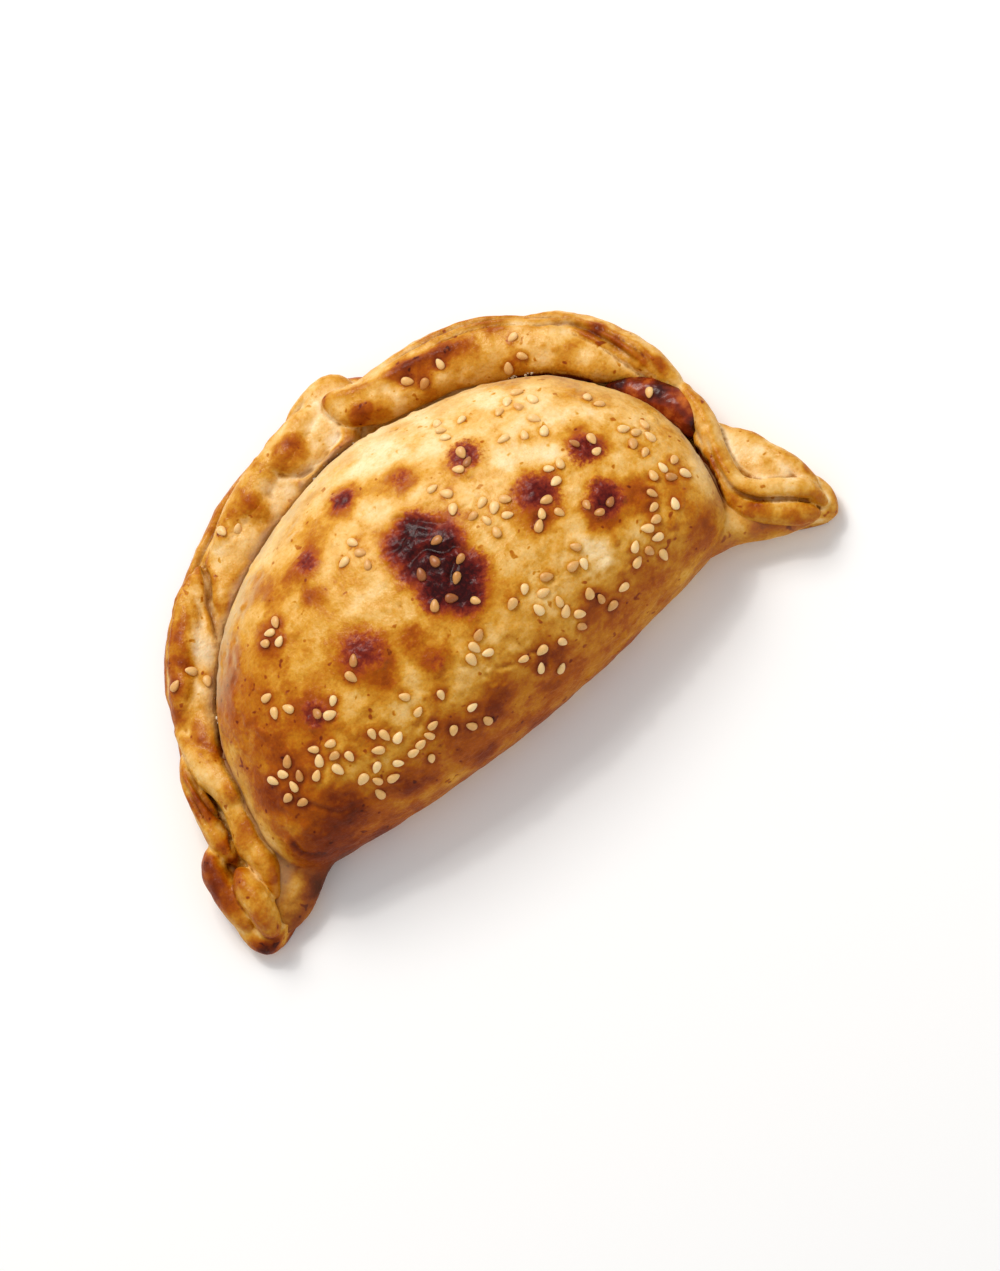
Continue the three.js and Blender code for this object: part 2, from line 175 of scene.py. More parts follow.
# %% Fold spines
Fold = namedtuple("Fold", "spine width height tilt", defaults=(0,))
FOLDS = {
    "tail_left": Fold(
        [(-50, 17, 8), (-61, 10.4, 5.6), (-68, 5.6, 4), (-75.6, 1.6, 3)],
        (24, 16, 7), (17, 9, 6),
    ),
    "tail_right": Fold(
        [(46, 17, 8), (60, 10, 6), (68, 5, 5), (75.5, 0.8, 4)],
        (24, 11, 6), (17, 10, 6),
    ),
    "ledge_left": Fold(
        [(-58.8, 41, 5), (-59.6, 35, 8), (-60, 29, 9), (-61.8, 21, 8.8), (-62.4, 13, 7.4)],
        (5, 9, 6), (6, 8, 7),
    ),
    "flap_upper": Fold(
        [(10, 85.6, 8.5), (-6, 81.5, 8), (-21.5, 77.6, 7.5), (-34, 71, 7), (-46, 61, 6)],
        (17, 14.5, 7), (7, 8, 5), -8,
    ),
    "flap_crest": Fold(
        [(6, 88.6, 9), (-6.4, 86, 9.5), (-14.6, 83.4, 9.6), (-22, 81.2, 9.4), (-29.4, 78.3, 9),
         (-36.5, 74.6, 7.5)],
        (6, 8.5, 4), (6, 8.4, 5), -4,
    ),
    "flap_lip": Fold(
        [(5, 82.5, 9.5), (4.6, 79, 8.5), (0.5, 76.6, 8.2), (-6, 75.6, 8.6), (-12.5, 76.5, 9)],
        (5, 5, 4), (6, 7, 5),
    ),
    "flap_corner": Fold(
        [(-6, 88, 5.5), (3, 89.8, 7), (8.6, 90, 6.8), (11.6, 86.6, 6)],
        (6, 9, 6), (6, 8.6, 7),
    ),
    "flap_lower": Fold(
        [(-39, 74, 6.5), (-47, 66, 7.5), (-53, 58, 7.5), (-58.2, 50.5, 7.5), (-63, 42.5, 6.5)],
        (6, 13, 8), (5, 8, 6), -8,
    ),
    "flap_lower_crest": Fold(
        [(-38.6, 76.6, 7.5), (-43.4, 72.6, 9), (-49.6, 65.8, 9.4), (-54.6, 59.6, 9.5), (-59, 53.4, 9.2),
         (-62.8, 49.4, 8)],
        (4, 7.5, 5), (5, 8, 6), -4,
    ),
    "rope_left_root": Fold(
        [(-55.6, 54, 6.5), (-58.6, 47, 8), (-60.8, 41, 9), (-61.4, 35, 8.6)],
        (5, 8, 6), (5, 7, 6),
    ),
    "rope_left_inner": Fold(
        [(-63.8, 50.4, 7.4), (-63.4, 43, 9.4), (-62.8, 36, 10.4), (-61.6, 29.5, 10.6), (-62.6, 24, 10),
         (-65, 18.5, 9.8), (-65.4, 12.5, 9.4), (-67.6, 5.4, 7.8)],
        (3, 8.4, 3.6), (4, 8, 6),
    ),
    "rope_left_outer": Fold(
        [(-65.8, 45, 6.5), (-68.3, 37.5, 7.5), (-69.7, 31, 7.5), (-70.8, 24, 7.5), (-70.6, 17.5, 6.5)],
        (3, 5, 4), (5, 7, 6),
    ),
    "bump_left": Fold(
        [(-72.6, 24.5, 5.5), (-75.6, 19, 6.6), (-76.2, 12, 6), (-76.6, 4, 5)],
        (4, 6.5, 4), (6, 8, 6),
    ),
    "tongue_left": Fold(
        [(-70.4, 16, 8), (-71.4, 10.6, 9.8), (-71.8, 5, 9.4), (-73.4, -0.4, 6.5)],
        (3.6, 6.4, 5.6), (6, 8, 6),
    ),
    "roll_top": Fold(
        [(4.5, 87.6, 12), (11, 82.2, 11.5), (21, 80.2, 11), (31.5, 78.3, 10.5), (41.3, 73.7, 10),
         (49.6, 66.8, 10), (55.6, 58.2, 10), (60, 51, 9.5), (62.4, 45.6, 9)],
        (11, 14.8, 3.5), (8, 11, 6),
    ),
    "roll_outer": Fold(
        [(42, 79.4, 7.5), (53, 71, 8.5), (60.6, 61.5, 9.5), (64.6, 52.5, 10), (66.4, 46, 10),
         (67.6, 38, 9)],
        (3, 8, 5), (4, 9, 7),
    ),
    "rope_right_inner": Fold(
        [(64.2, 31, 8.5), (62.2, 23, 9.5), (61, 16, 9.5), (62, 10, 9.2), (65.6, 6, 8.8), (70, 2.4, 8.2),
         (73.8, -0.4, 6.8)],
        (4, 5.2, 5.6), (5, 7, 6),
    ),
    "rope_right_outer": Fold(
        [(67.4, 43, 9.5), (67.8, 36, 9.8), (66.8, 30, 10), (64.9, 25, 10.3), (63.8, 19.5, 10.5),
         (63.8, 14.5, 10.5), (66.4, 11, 10.2), (71, 7.8, 9.6), (74.8, 5, 8.4), (76.4, 0.6, 6)],
        (4.4, 5, 5.4), (6, 7, 6),
    ),
    "web_pad": Fold(
        [(67.5, 29, 6.5), (69.2, 21, 7), (71, 15, 7.2), (74.5, 9, 7)],
        (5, 11, 6), (4, 6, 4),
    ),
    "web_lip": Fold(
        [(68.5, 31, 5), (71, 22.5, 6), (74.2, 16.5, 6.5), (76.2, 10, 6.5), (77, 4.5, 6)],
        (3, 4.5, 4), (6, 7, 6),
    ),
}
print("folds:", len(FOLDS))

# %% [markdown]
# ## Lobes along a spine
# One function makes every fold. It walks along the spine, takes the sideways and upward directions at each
# step, and rounds both ends off like a sausage. A bevelled curve would be quicker, but its sections can't
# be wide and flat in one place and tall in another.

# %% Lobe sections
END_FULLNESS = 5
END_GAP = 0.008
LOBE_STEP = 0.7
FEWEST_SECTIONS = 24


def along(sizes, share):
    start, middle, end = sizes
    bulge = np.sin(share * math.pi)
    return np.where(share < 0.5, start, end) * (1 - bulge) + middle * bulge


def lobe(fold, sides=36):
    line = smooth_line(fold.spine)
    count = max(FEWEST_SECTIONS, int(length_of(line) / LOBE_STEP))
    turn = np.linspace(END_GAP, 1 - END_GAP, count) * math.pi
    share = 0.5 - 0.5 * np.cos(turn)
    rounding = np.sqrt(1 - np.abs(np.cos(turn)) ** END_FULLNESS)
    centre = at_shares(line, share)
    way = np.gradient(centre, axis=0)
    way /= np.linalg.norm(way, axis=1, keepdims=True)
    flat = np.column_stack([-way[:, 1], way[:, 0], np.zeros(len(way))])
    flat /= np.linalg.norm(flat, axis=1, keepdims=True)
    rise = np.cross(way, flat)
    lean = math.radians(fold.tilt)
    side = math.cos(lean) * flat + math.sin(lean) * rise
    up = math.cos(lean) * rise - math.sin(lean) * flat
    wide, high = (along(sizes, share) / 2 * rounding for sizes in (fold.width, fold.height))
    angle = np.linspace(0, 2 * math.pi, sides, endpoint=False)[None, :, None]
    return (
        centre[:, None] + side[:, None] * wide[:, None, None] * np.cos(angle)
        + up[:, None] * high[:, None, None] * np.sin(angle)
    )


lobes = {name: lobe(fold) for name, fold in FOLDS.items()}
print("sections of the longest fold:", max(len(sections) for sections in lobes.values()))

# %% [markdown]
# ## Two skins
# The lofts still cut through each other. A boolean union would keep hard, ragged seams. Dough flows together
# instead, so lofts go into one mesh and a voxel remesh draws a single skin round them. Two skins are made:
# the belly with its tails, and the rim that is folded against it, because the seam between those two stays
# a crisp dark line on the real one. Each skin is cut flat where it lies on the tray.

# %% Join the lofts and remesh
VOXEL = 0.42
TAILS = ("tail_left", "tail_right", "ledge_left")


def in_scene(name, data):
    made = bpy.data.objects.new(name, data)
    bpy.context.scene.collection.objects.link(made)
    return made


def mesh_from(bm, name):
    mesh = bpy.data.meshes.new(name)
    bm.to_mesh(mesh)
    bm.free()
    return mesh


def add_loft(bm, sections):
    rings = [[bm.verts.new(point) for point in section] for section in sections]
    for lower, upper in zip(rings, rings[1:]):
        for i in range(len(lower)):
            bm.faces.new((lower[i - 1], lower[i], upper[i], upper[i - 1]))
    bm.faces.new(rings[0][::-1])
    bm.faces.new(rings[-1])


def shaped_by_modifiers(piece):
    """Gives a piece the mesh that its modifiers make."""
    before = piece.data
    after = bpy.data.meshes.new_from_object(piece.evaluated_get(bpy.context.evaluated_depsgraph_get()))
    piece.modifiers.clear()
    piece.data = after
    bpy.data.meshes.remove(before)
    after.name = piece.name


def remeshed(name, lofts, voxel):
    bm = bmesh.new()
    for sections in lofts:
        add_loft(bm, sections)
    piece = in_scene(name, mesh_from(bm, name))
    one_skin = piece.modifiers.new("one_skin", "REMESH")
    one_skin.mode = "VOXEL"
    one_skin.voxel_size = voxel
    shaped_by_modifiers(piece)
    return piece


body = remeshed("crust_belly", [belly, *(lobes[name] for name in TAILS)], VOXEL)
rim = remeshed("crust_rim", [sheet, *(lobes[name] for name in FOLDS if name not in TAILS)], VOXEL)
print("points:", len(body.data.vertices), "and", len(rim.data.vertices))


# %% Cut both flat on the tray
def cut_flat(mesh):
    bm = bmesh.new()
    bm.from_mesh(mesh)
    everything = bm.verts[:] + bm.edges[:] + bm.faces[:]
    bmesh.ops.bisect_plane(bm, geom=everything, plane_co=(0, 0, 0), plane_no=(0, 0, 1), clear_inner=True)
    open_edges = [edge for edge in bm.edges if edge.is_boundary]
    bmesh.ops.triangle_fill(bm, edges=open_edges, use_beauty=True, normal=(0, 0, -1))
    bmesh.ops.recalc_face_normals(bm, faces=bm.faces[:])
    bm.to_mesh(mesh)
    bm.free()


for piece in (body, rim):
    cut_flat(piece.data)
    print(piece.name, len(piece.data.vertices), "points,", len(piece.data.polygons), "faces")

# %% [markdown]
# ## Tools for shaping the skin
# From here the skin is shaped as an array of points. That keeps it fast and gives the same result on
# every run. Three helpers do most of the work: the average of each point's neighbours, which smooths; soft
# noise, which makes lumps of a chosen size; and a soft step from 0 to 1.

# %% Helpers for points
NOISE_SHIFT = (17.3, 5.1, 9.7)


def read(items, name, width, kind=np.float32):
    flat = np.empty(len(items) * width, kind)
    items.foreach_get(name, flat)
    return flat.reshape(-1, width)


def points_of(mesh):
    return read(mesh.vertices, "co", 3).astype(float)


def set_points(mesh, points):
    mesh.vertices.foreach_set("co", points.astype(np.float32).ravel())
    mesh.update()


def normals_of(mesh):
    return read(mesh.vertex_normals, "vector", 3).astype(float)


def edges_of(mesh):
    return read(mesh.edges, "vertices", 2, np.int32)


def smoothed(values, edges, rounds, weight=0.5):
    count = np.bincount(edges.ravel(), minlength=len(values)).astype(float)
    values = values.reshape(len(values), -1).copy()
    weight = np.broadcast_to(np.asarray(weight, float).reshape(-1, 1), (len(values), 1))
    for _ in range(rounds):
        total = np.column_stack([
            np.bincount(edges[:, 0], column[edges[:, 1]], len(column))
            + np.bincount(edges[:, 1], column[edges[:, 0]], len(column)) for column in values.T
        ])
        values += weight * (total / count[:, None] - values)
    return values


def lumps(points, size, seed):
    """Soft noise from -1 to 1, with lumps about size millimetres across."""
    move = Vector([seed * part for part in NOISE_SHIFT])
    return np.array([noise.noise(Vector(point) / size + move) for point in points])


def layers(points, *waves):
    """Noise of several sizes, each told as its height, size and seed."""
    return sum(height * lumps(points, size, seed) for height, size, seed in waves)


def step(low, high, values):
    share = np.clip((values - low) / (high - low), 0, 1)
    return share * share * (3 - 2 * share)


print("a step from 2 to 4, at 3:", step(2, 4, 3))

# %% [markdown]
# ## Soft dough
# The remesh leaves tiny stairs. A few rounds of smoothing melt them, with the ring on the tray held still.
# Dough is never a perfect loft either, so the belly gets broad swells from the filling under it, and the rim
# gets smaller ones from the fingers that folded it.

# %% Melt and swell
HELD_BELOW = 5
MELT_ROUNDS = {body: 6, rim: 2}
edges = {piece: edges_of(piece.data) for piece in (body, rim)}
skin = {}
for piece, rounds in MELT_ROUNDS.items():
    points = points_of(piece.data)
    off_tray = points[:, 2] > 1e-4
    skin[piece] = smoothed(points, edges[piece], rounds, 0.5 * off_tray)
    set_points(piece.data, skin[piece])


def push(piece, distance):
    """Moves a skin along its normals, and less where it nears the tray."""
    held = step(0, HELD_BELOW, skin[piece][:, 2])
    skin[piece] += normals_of(piece.data) * (distance * held)[:, None]
    set_points(piece.data, skin[piece])


push(body, layers(skin[body], (0.45, 22, 1), (0.18, 8, 2), (0.15, 3.2, 3), (0.06, 1.5, 6)))
finger_dents = 0.26 + 0.12 * step(38, 50, skin[rim][:, 1])
push(rim, layers(skin[rim], (0.45, 9, 4), (finger_dents, 4.4, 5), (0.09, 1.8, 7)))
print("highest point:", skin[body][:, 2].max().round(1), "mm")

# %% [markdown]
# ## Blisters, bubbles and creases
# Steam lifts the thin skin of the belly into blisters, and those are what scorch first. Each is a low
# rounded rise, told by its place, radius and height. Creases run round the lower left end, where the dough
# was gathered, across the large scorch, and along the rim: between the strands of the ropes, between the
# flaky layers of the roll, and where one flap lies over the next. Each is a line with a depth and a width.

# %% Blisters and creases by place
BLISTERS = [
    (3, 32, 11.5, 0.7), (-22, 27, 7.5, 0.7), (27.5, 32.5, 6.5, 0.7), (38.5, 23.5, 6.5, 0.6), (22, 49, 6, 0.5),
    (42.5, 35.5, 5.5, 0.5), (-36, 25, 6, 0.5), (-20, 51, 5, 0.5), (-4.5, 59, 5, 0.4), (7.5, 53.5, 4.5, 0.3),
    (-35, 44, 5, 0.4), (-9.5, 17, 4.5, 0.4), (45.5, 20, 4, 0.4),
]
RIM_BUMPS = [
    (-7.4, 82.2, 5.6, 1.7), (-20.9, 77.7, 4.4, 1.5), (-31, 76.3, 4, 0.5), (-52, 63, 4, 0.4), (-58, 55, 4, 0.4),
    (24, 80, 4, 0.4), (33, 77, 4.5, 0.4), (50, 66, 5, 0.3), (-61, 28.5, 4, 0.9), (-64.8, 13, 3.5, 0.5),
]
BELLY_CREASES = [
    ([(-51.6, 15.7), (-49.6, 13), (-47.6, 10.1), (-45.2, 7.6), (-42.4, 7.1)], 0.28, 0.6),
    ([(-57.3, 10.1), (-56.9, 7.2), (-54.1, 5)], 0.35, 0.7),
    ([(5.9, 11), (6.8, 7.9), (9.6, 6.5)], 0.2, 0.5),
    ([(-1, 9.2), (2.7, 7.6)], 0.2, 0.5),
    ([(1.6, 47), (4.2, 44.5), (6.7, 41.3), (9.6, 38.8)], 0.5, 0.7),
    ([(-3.4, 35.6), (-0.6, 36.6), (2.8, 36.8), (5, 34), (7.7, 33.4), (9.4, 29.8)], 0.8, 0.9),
    ([(2.4, 27.6), (4, 29.4), (5.7, 30.6), (6.6, 33)], 0.6, 0.7),
    ([(-4, 41.6), (-1, 40.8), (1.4, 42.4)], 0.35, 0.6),
]
RIM_CREASES = [
    ([(-38.2, 77.4), (-38.6, 73.1), (-40.2, 70.2), (-41.8, 68), (-43.1, 64.2), (-44.6, 60.6)], 1.1, 0.7),
    ([(3, 91.6), (-9, 89.2), (-24, 85.4), (-37.6, 79), (-50.6, 69.4), (-58.6, 59.8)], 0.8, 0.6),
    ([(-13.4, 82.6), (-12.6, 80.6), (-11, 79), (-8.3, 77.6), (-4.8, 77), (-2, 77.8)], 0.45, 0.8),
    ([(-67.3, 40), (-67.9, 32.7), (-68, 25.3), (-69.4, 20)], 0.8, 0.6),
    ([(-69.1, 39.3), (-69.9, 33.6), (-70.8, 27.5)], 0.6, 0.5),
    ([(51, 71), (57.5, 66.5), (59.9, 61.5), (62, 55.2), (63.2, 49.9)], 1.0, 0.6),
    ([(58, 65.5), (61.6, 61), (64.1, 54.9), (65.4, 49.4), (65.6, 44.5)], 0.5, 0.45),
    ([(19.9, 85), (31.1, 83.4), (37.8, 81.8), (44.6, 78.4), (53.1, 72.8), (59, 66.5)], 0.7, 0.5),
    ([(30, 81.4), (38, 79.4), (45, 75.8), (52, 70.4)], 0.35, 0.4),
    ([(36, 80.6), (42, 78.2), (49, 73.4), (55, 68)], 0.3, 0.4),
    ([(64.6, 26.8), (62.6, 20), (62.2, 14), (64.9, 9.4), (70.4, 5.4), (74, 2.8)], 0.65, 0.6),
    ([(4.5, 88), (9.6, 85.2), (15.1, 82.9), (22.2, 81.1), (29.3, 79.5), (38.2, 76.7)], -0.5, 1.3),
]
print("blisters and bumps:", len(BLISTERS) + len(RIM_BUMPS), "creases:", len(BELLY_CREASES) + len(RIM_CREASES))

# %% [markdown]
# ## Shaping the skins
# A crease is drawn on the plan and dropped straight down on the skin. Points near it sink, and those beside
# it rise as a soft lip. Hundreds of small bubbles and a few pits then go on random points. They could come
# from a displacement texture, but real points also show at the edge of the pastry and in its shadow.

# %% Shape the skins
ABOVE_ALL = 100
CREASE_STEP = 0.45
CREASE_REACH = 8
LIP_HEIGHT, LIP_PLACE, LIP_WIDTH = 0.4, 2.2, 1.2
CREASE_FADE = 0.4
BUBBLES = {body: 900, rim: 300}
BUBBLE_RISES = (0.34, 0.24, 0.15, -0.24)
BUBBLE_RADII = (0.9, 2.4)


def tree_of(mesh):
    return BVHTree.FromPolygons([v.co for v in mesh.vertices], [p.vertices for p in mesh.polygons])


def drop(tree, x, y):
    """The point of a skin straight below (x, y), and its normal."""
    place, normal, _, _ = tree.ray_cast(Vector((x, y, ABOVE_ALL)), Vector((0, 0, -1)))
    return place, normal


def creased(piece, creases):
    """The lift of grooves along plan lines, with soft lips, and how deep each point lies in one."""
    points, tree = skin[piece], tree_of(piece.data)
    lift, depth_share = np.zeros(len(points)), np.zeros(len(points))
    for line, depth, width in creases:
        line = smooth_line(line)
        path = at_shares(line, np.linspace(0, 1, max(8, int(length_of(line) / CREASE_STEP))))
        path = np.array([drop(tree, x, y)[0] for x, y in path])
        beside = np.abs(points[:, None, :2] - path[None, ::8, :2]).max(axis=2)
        near = np.flatnonzero((beside < CREASE_REACH).any(axis=1))
        away = np.linalg.norm(points[near, None] - path[None], axis=2)
        fade = np.sin(math.pi * (away.argmin(axis=1) + 0.5) / len(path)) ** CREASE_FADE
        away = away.min(axis=1) / width
        groove = np.exp(-(away ** 2))
        lip = LIP_HEIGHT * np.exp(-(((away - LIP_PLACE) / LIP_WIDTH) ** 2))
        lift[near] += fade * depth * (lip - groove)
        depth_share[near] = np.maximum(depth_share[near], fade * groove * np.clip(depth, 0, 1))
    return lift, depth_share


def raised(piece, bumps):
    lift = np.zeros(len(skin[piece]))
    for x, y, radius, rise in bumps:
        away = np.hypot(skin[piece][:, 0] - x, skin[piece][:, 1] - y) / radius
        lift += rise * np.clip(1 - away * away, 0, 1) ** 2
    return lift


def finder_of(points):
    finder = KDTree(len(points))
    for i, point in enumerate(points):
        finder.insert(point, i)
    finder.balance()
    return finder


def bubbled(piece, count, seed, places=None, radii=BUBBLE_RADII):
    """Many small bubbles and pits at random points of a skin, or of some places on it."""
    draw, points = np.random.default_rng(seed), skin[piece]
    places = points if places is None else places
    finder = finder_of(points)
    lift = np.zeros(len(points))
    for spot in places[draw.integers(0, len(places), count)]:
        radius, rise = draw.uniform(*radii), draw.choice(BUBBLE_RISES) * draw.uniform(0.5, 1)
        for _, i, away in finder.find_range(spot, radius):
            lift[i] += rise * (1 - (away / radius) ** 2) ** 2
    return lift


grooves = {}
for piece, bumps, creases in ((body, BLISTERS, BELLY_CREASES), (rim, RIM_BUMPS, RIM_CREASES)):
    lift, grooves[piece] = creased(piece, creases)
    off_tray = step(5, 13, skin[piece][:, 2])
    push(piece, lift + raised(piece, bumps) + bubbled(piece, BUBBLES[piece], 3) * off_tray)
    print(piece.name, "bubbles and pits:", BUBBLES[piece])

# %% [markdown]
# ## The seam
# Between the rim and the belly runs a narrow dark gap. Where the rim comes close to the belly it is pushed
# straight down, so it drops off into a real crevice, and the belly gives way a little. At the tails the dough
# is pinched tight, so the gap is shallower there.

# %% Open the seam
SEAM_DEPTH = 3.4
LEFT_BELOW_SEAM = 1.5
BELLY_GIVES, GIVE_REACH = 0.5, 1.4
LIP_ROUNDS = 7


def distance_to(points, tree):
    return np.array([tree.find_nearest(point)[3] for point in points])


seam_away = {
    piece: distance_to(skin[piece], tree_of(other.data)) for piece, other in ((body, rim), (rim, body))
}
tight, open_seam = {}, {}
for piece in (body, rim):
    x, y, _ = skin[piece].T
    tight[piece] = step(46, 54, -x) * (1 - step(36, 48, y))
    open_seam[piece] = (0.12 + 0.88 * step(8, 24, y)) * (1 - 0.55 * tight[piece])
push(body, -BELLY_GIVES * open_seam[body] * np.exp(-((seam_away[body] / GIVE_REACH) ** 2)))

x, y, z = skin[rim].T
reach = 0.6 + 1.2 * step(24, 60, y) * (1 - 0.5 * step(4, 16, x))
in_seam = {
    body: (1 - step(0.2, 1.1, seam_away[body])) * open_seam[body],
    rim: (1 - step(0.75 * reach, 1.35 * reach, seam_away[rim])) * open_seam[rim],
}
fall = SEAM_DEPTH * in_seam[rim] * step(0.1, 0.6, normals_of(rim.data)[:, 2])
skin[rim][:, 2] -= np.minimum(fall, np.clip(z - LEFT_BELOW_SEAM, 0, None))
lip = 0.5 * step(0, 0.15, in_seam[rim]) * step(40, 50, y)
skin[rim] = smoothed(skin[rim], edges[rim], LIP_ROUNDS, lip)
set_points(rim.data, skin[rim])
print("seam opened to", fall.max().round(1), "mm")

# %% [markdown]
# ## Where the oven browned it
# Pastry browns where it is thin, high or close to the heat. The brown patches are told by their place, by how
# far they reach and by how much they add to the bake; a scorched one also has a smaller core that is burnt. A
# few brown patches are partly painted shade, under the nose of the roll and under the right tail. The large
# scorch is several rounds that overlap. Painting by hand would be freer, but rounds on the plan can be moved
# and toned one at a time.

# %% Patches: x, y, reach, bake, and for a scorched one the core's reach and scorch
LARGE_SCORCH = [
    (3.4, 41, 9, 0.55, 6.2, 1), (5.2, 35, 9.5, 0.55, 6.8, 1), (5.2, 28, 9.5, 0.55, 6.8, 1),
    (3.4, 24.6, 8.5, 0.5, 5.8, 1), (-0.2, 40, 8.5, 0.5, 5.6, 1), (-0.2, 34, 8.5, 0.5, 6, 1),
    (0, 28, 8, 0.5, 6, 1), (2.4, 32, 8, 0.3, 7, 1),
]
SCORCHED_SPOTS = [
    (-4.7, 59.4, 6, 0.5, 3.6, 0.8), (7.6, 54, 6, 0.42, 3, 0.42), (21.2, 49.6, 6.2, 0.36, 4.6, 0.66),
    (-19, 52.4, 5.8, 0.45, 3.2, 0.66), (42.3, 35.4, 6.6, 0.42, 4.6, 0.7),
    (28.6, 32.3, 7.6, 0.5, 5.6, 0.8), (39, 23.2, 7, 0.5, 5, 0.82), (45.2, 20, 5.2, 0.42, 1.6, 0.3),
    (-21.1, 28, 8.6, 0.5, 5.8, 0.64), (-9.6, 16.6, 5.4, 0.5, 2.6, 0.4),
    (-36.6, 24.7, 6.6, 0.45, 3.8, 0.6),
]
BROWN_AND_SHADE_PATCHES = [
    (-22.2, 44.7, 5, 0.42), (44.5, 40.8, 5, 0.22), (23.8, 27, 5, 0.4), (36.6, 18.9, 5.4, 0.42),
    (47.7, 9.8, 8, 0.1), (44.6, 6.6, 4.6, 0.3), (66, 3, 6, 0.3), (25.5, 9, 6.4, 0.2),
    (35.5, 7.5, 4.4, 0.3), (-21.3, 20.5, 6, 0.42), (-10.6, 23.7, 4.8, 0.4), (-35.8, 44.1, 6, 0.4),
    (-48.8, 26.1, 8, 0.3), (-53, 18, 7, 0.3), (-48, 10.9, 8, 0.36), (-42.5, 6.3, 8, 0.4),
    (-50, 6.2, 7, 0.36), (-55.9, 6.4, 6, 0.2), (-17, 5.3, 7, 0.3), (-6.6, 5.6, 5.4, 0.25),
    (9.3, 5.9, 6, 0.3), (-2.4, 5.2, 6, 0.3), (-27.9, 3.3, 9, 0.36), (-60.4, 3.4, 3, 0.3),
    (-42.4, 22.8, 9, 0.22), (-45, 36.4, 9, 0.24), (-34.3, 40.3, 7, 0.2), (-12, 53, 8, 0.12),
    # (64, 5) on the next line is partly painted shade under the right tail
    (-13.8, 1.5, 8, 0.36), (7, 1.6, 8, 0.26), (64, 5, 6, 0.5), (70, 1.6, 5, 0.4), (-31, 17, 8, 0.14),
    (-22, 42, 8, 0.16), (-55, 20.6, 6, 0.44), (53, 13, 6, 0.08), (-27, 54, 9, 0.26),
    (-12.8, 12.2, 5, 0.22), (10, 19.4, 5, 0.12), (-52, 43, 6, 0.2), (50, 8.6, 5, 0.16),
]
PALE_PATCHES = [
    (33, 4.8, 6, -0.1), (39.3, 13, 5, -0.2), (-2.4, 12, 5, -0.12), (6.7, 63, 8, -0.16),
    (10.5, 46, 5, -0.14), (-10, 66, 6, -0.12), (-12, 50, 5, -0.1), (-13.8, 30, 5, -0.14),
    (13, 31, 6, -0.12), (21.8, 19.4, 6, -0.1), (-56.6, 31.8, 4, -0.12), (33, 58, 6, -0.1),
    (41.7, 46.4, 7, -0.22), (47.4, 43, 7, -0.22), (54, 35.4, 6.4, -0.26), (30.6, 15, 7, -0.26),
    (25, 51.5, 6, -0.12), (-15.4, 36.4, 6, -0.12), (22.6, 38, 5, -0.1), (44.4, 29.4, 6.4, -0.26),
    (51.4, 25.4, 6.4, -0.14), (35.6, 37.4, 6, -0.24), (34.6, 28.4, 4, -0.16), (58.4, 20.8, 5, -0.1),
    (30.6, 12.4, 6, -0.16), (20, 33, 6, -0.14), (26, 41, 6, -0.1), (43, 54, 7, -0.14),
]
RIM_BROWN_AND_SHADE_PATCHES = [
    (-7.2, 82.4, 5.2, 0.36), (-11.2, 80.8, 3.4, 0.36), (-20.9, 77.7, 4.8, 0.42), (-25, 81, 3, 0.3),
    (-36.9, 76.4, 3.6, 0.2), (-47.6, 67.8, 3.6, 0.3), (-51.4, 65, 4.4, 0.45), (-55.4, 60.6, 5, 0.5),
    (-59.3, 56.3, 4.4, 0.45), (-62, 53.6, 3.6, 0.35), (10.2, 84.4, 3, 0.2), (20.3, 80.2, 4, 0.36),
    (24.2, 79.8, 4.4, 0.5), (28, 78.6, 5, 0.5), (32.5, 77.6, 4.6, 0.45), (36.6, 77.2, 3.8, 0.34),
    (42, 77.5, 4, 0.3), (25, 75.5, 4, 0.22), (36, 73, 6, 0.16), (44, 74, 4, 0.25), (50.5, 60.7, 6, 0.15),
    (61.3, 60.3, 3.6, 0.32), (63.3, 55.6, 3.6, 0.38), (64.7, 50.3, 3.4, 0.38), (66, 46.6, 3, 0.34),
    (66, 58, 3.4, 0.3), (61.2, 12.1, 3, 0.26), (64.5, 6.6, 3.4, 0.32), (77.6, 5.6, 3, 0.2),
    (78.6, 0.6, 3, 0.24), (76.4, 14.6, 3, 0.26), (77.8, 9.6, 2.8, 0.24), (-62.6, 50.2, 3, 0.26),
    (-67, 39.7, 3, 0.26), (-69.4, 30.1, 3, 0.3), (-70.6, 21.9, 3, 0.36), (-70.5, 17.9, 3, 0.42),
    (-75.8, 21.4, 3.2, 0.42), (-77, 16, 3.4, 0.3), (-75.6, 17, 6, 0.36), (-77, 11.4, 5.4, 0.5),
    # (62.5, 5) and (67.3, 1.6) on the next line are partly painted shade on the underside of the right tail
    (-76.4, -0.8, 4.4, 0.8), (-74.6, -1.4, 3.6, 0.6), (62.5, 5, 4.4, 0.5), (67.3, 1.6, 4, 0.4),
    # (9.6, 78.6) and (13, 77) on the next line are partly painted shade under the nose of the roll
    (9.6, 78.6, 5, 0.44), (13, 77, 4, 0.4), (-9.4, 76.8, 3.4, 0.16), (41.6, 67, 6, 0.3),
    (-61, 44, 4.4, 0.34), (-59.8, 39.4, 4.4, 0.44), (-69.6, 33.4, 3, 0.2),
]
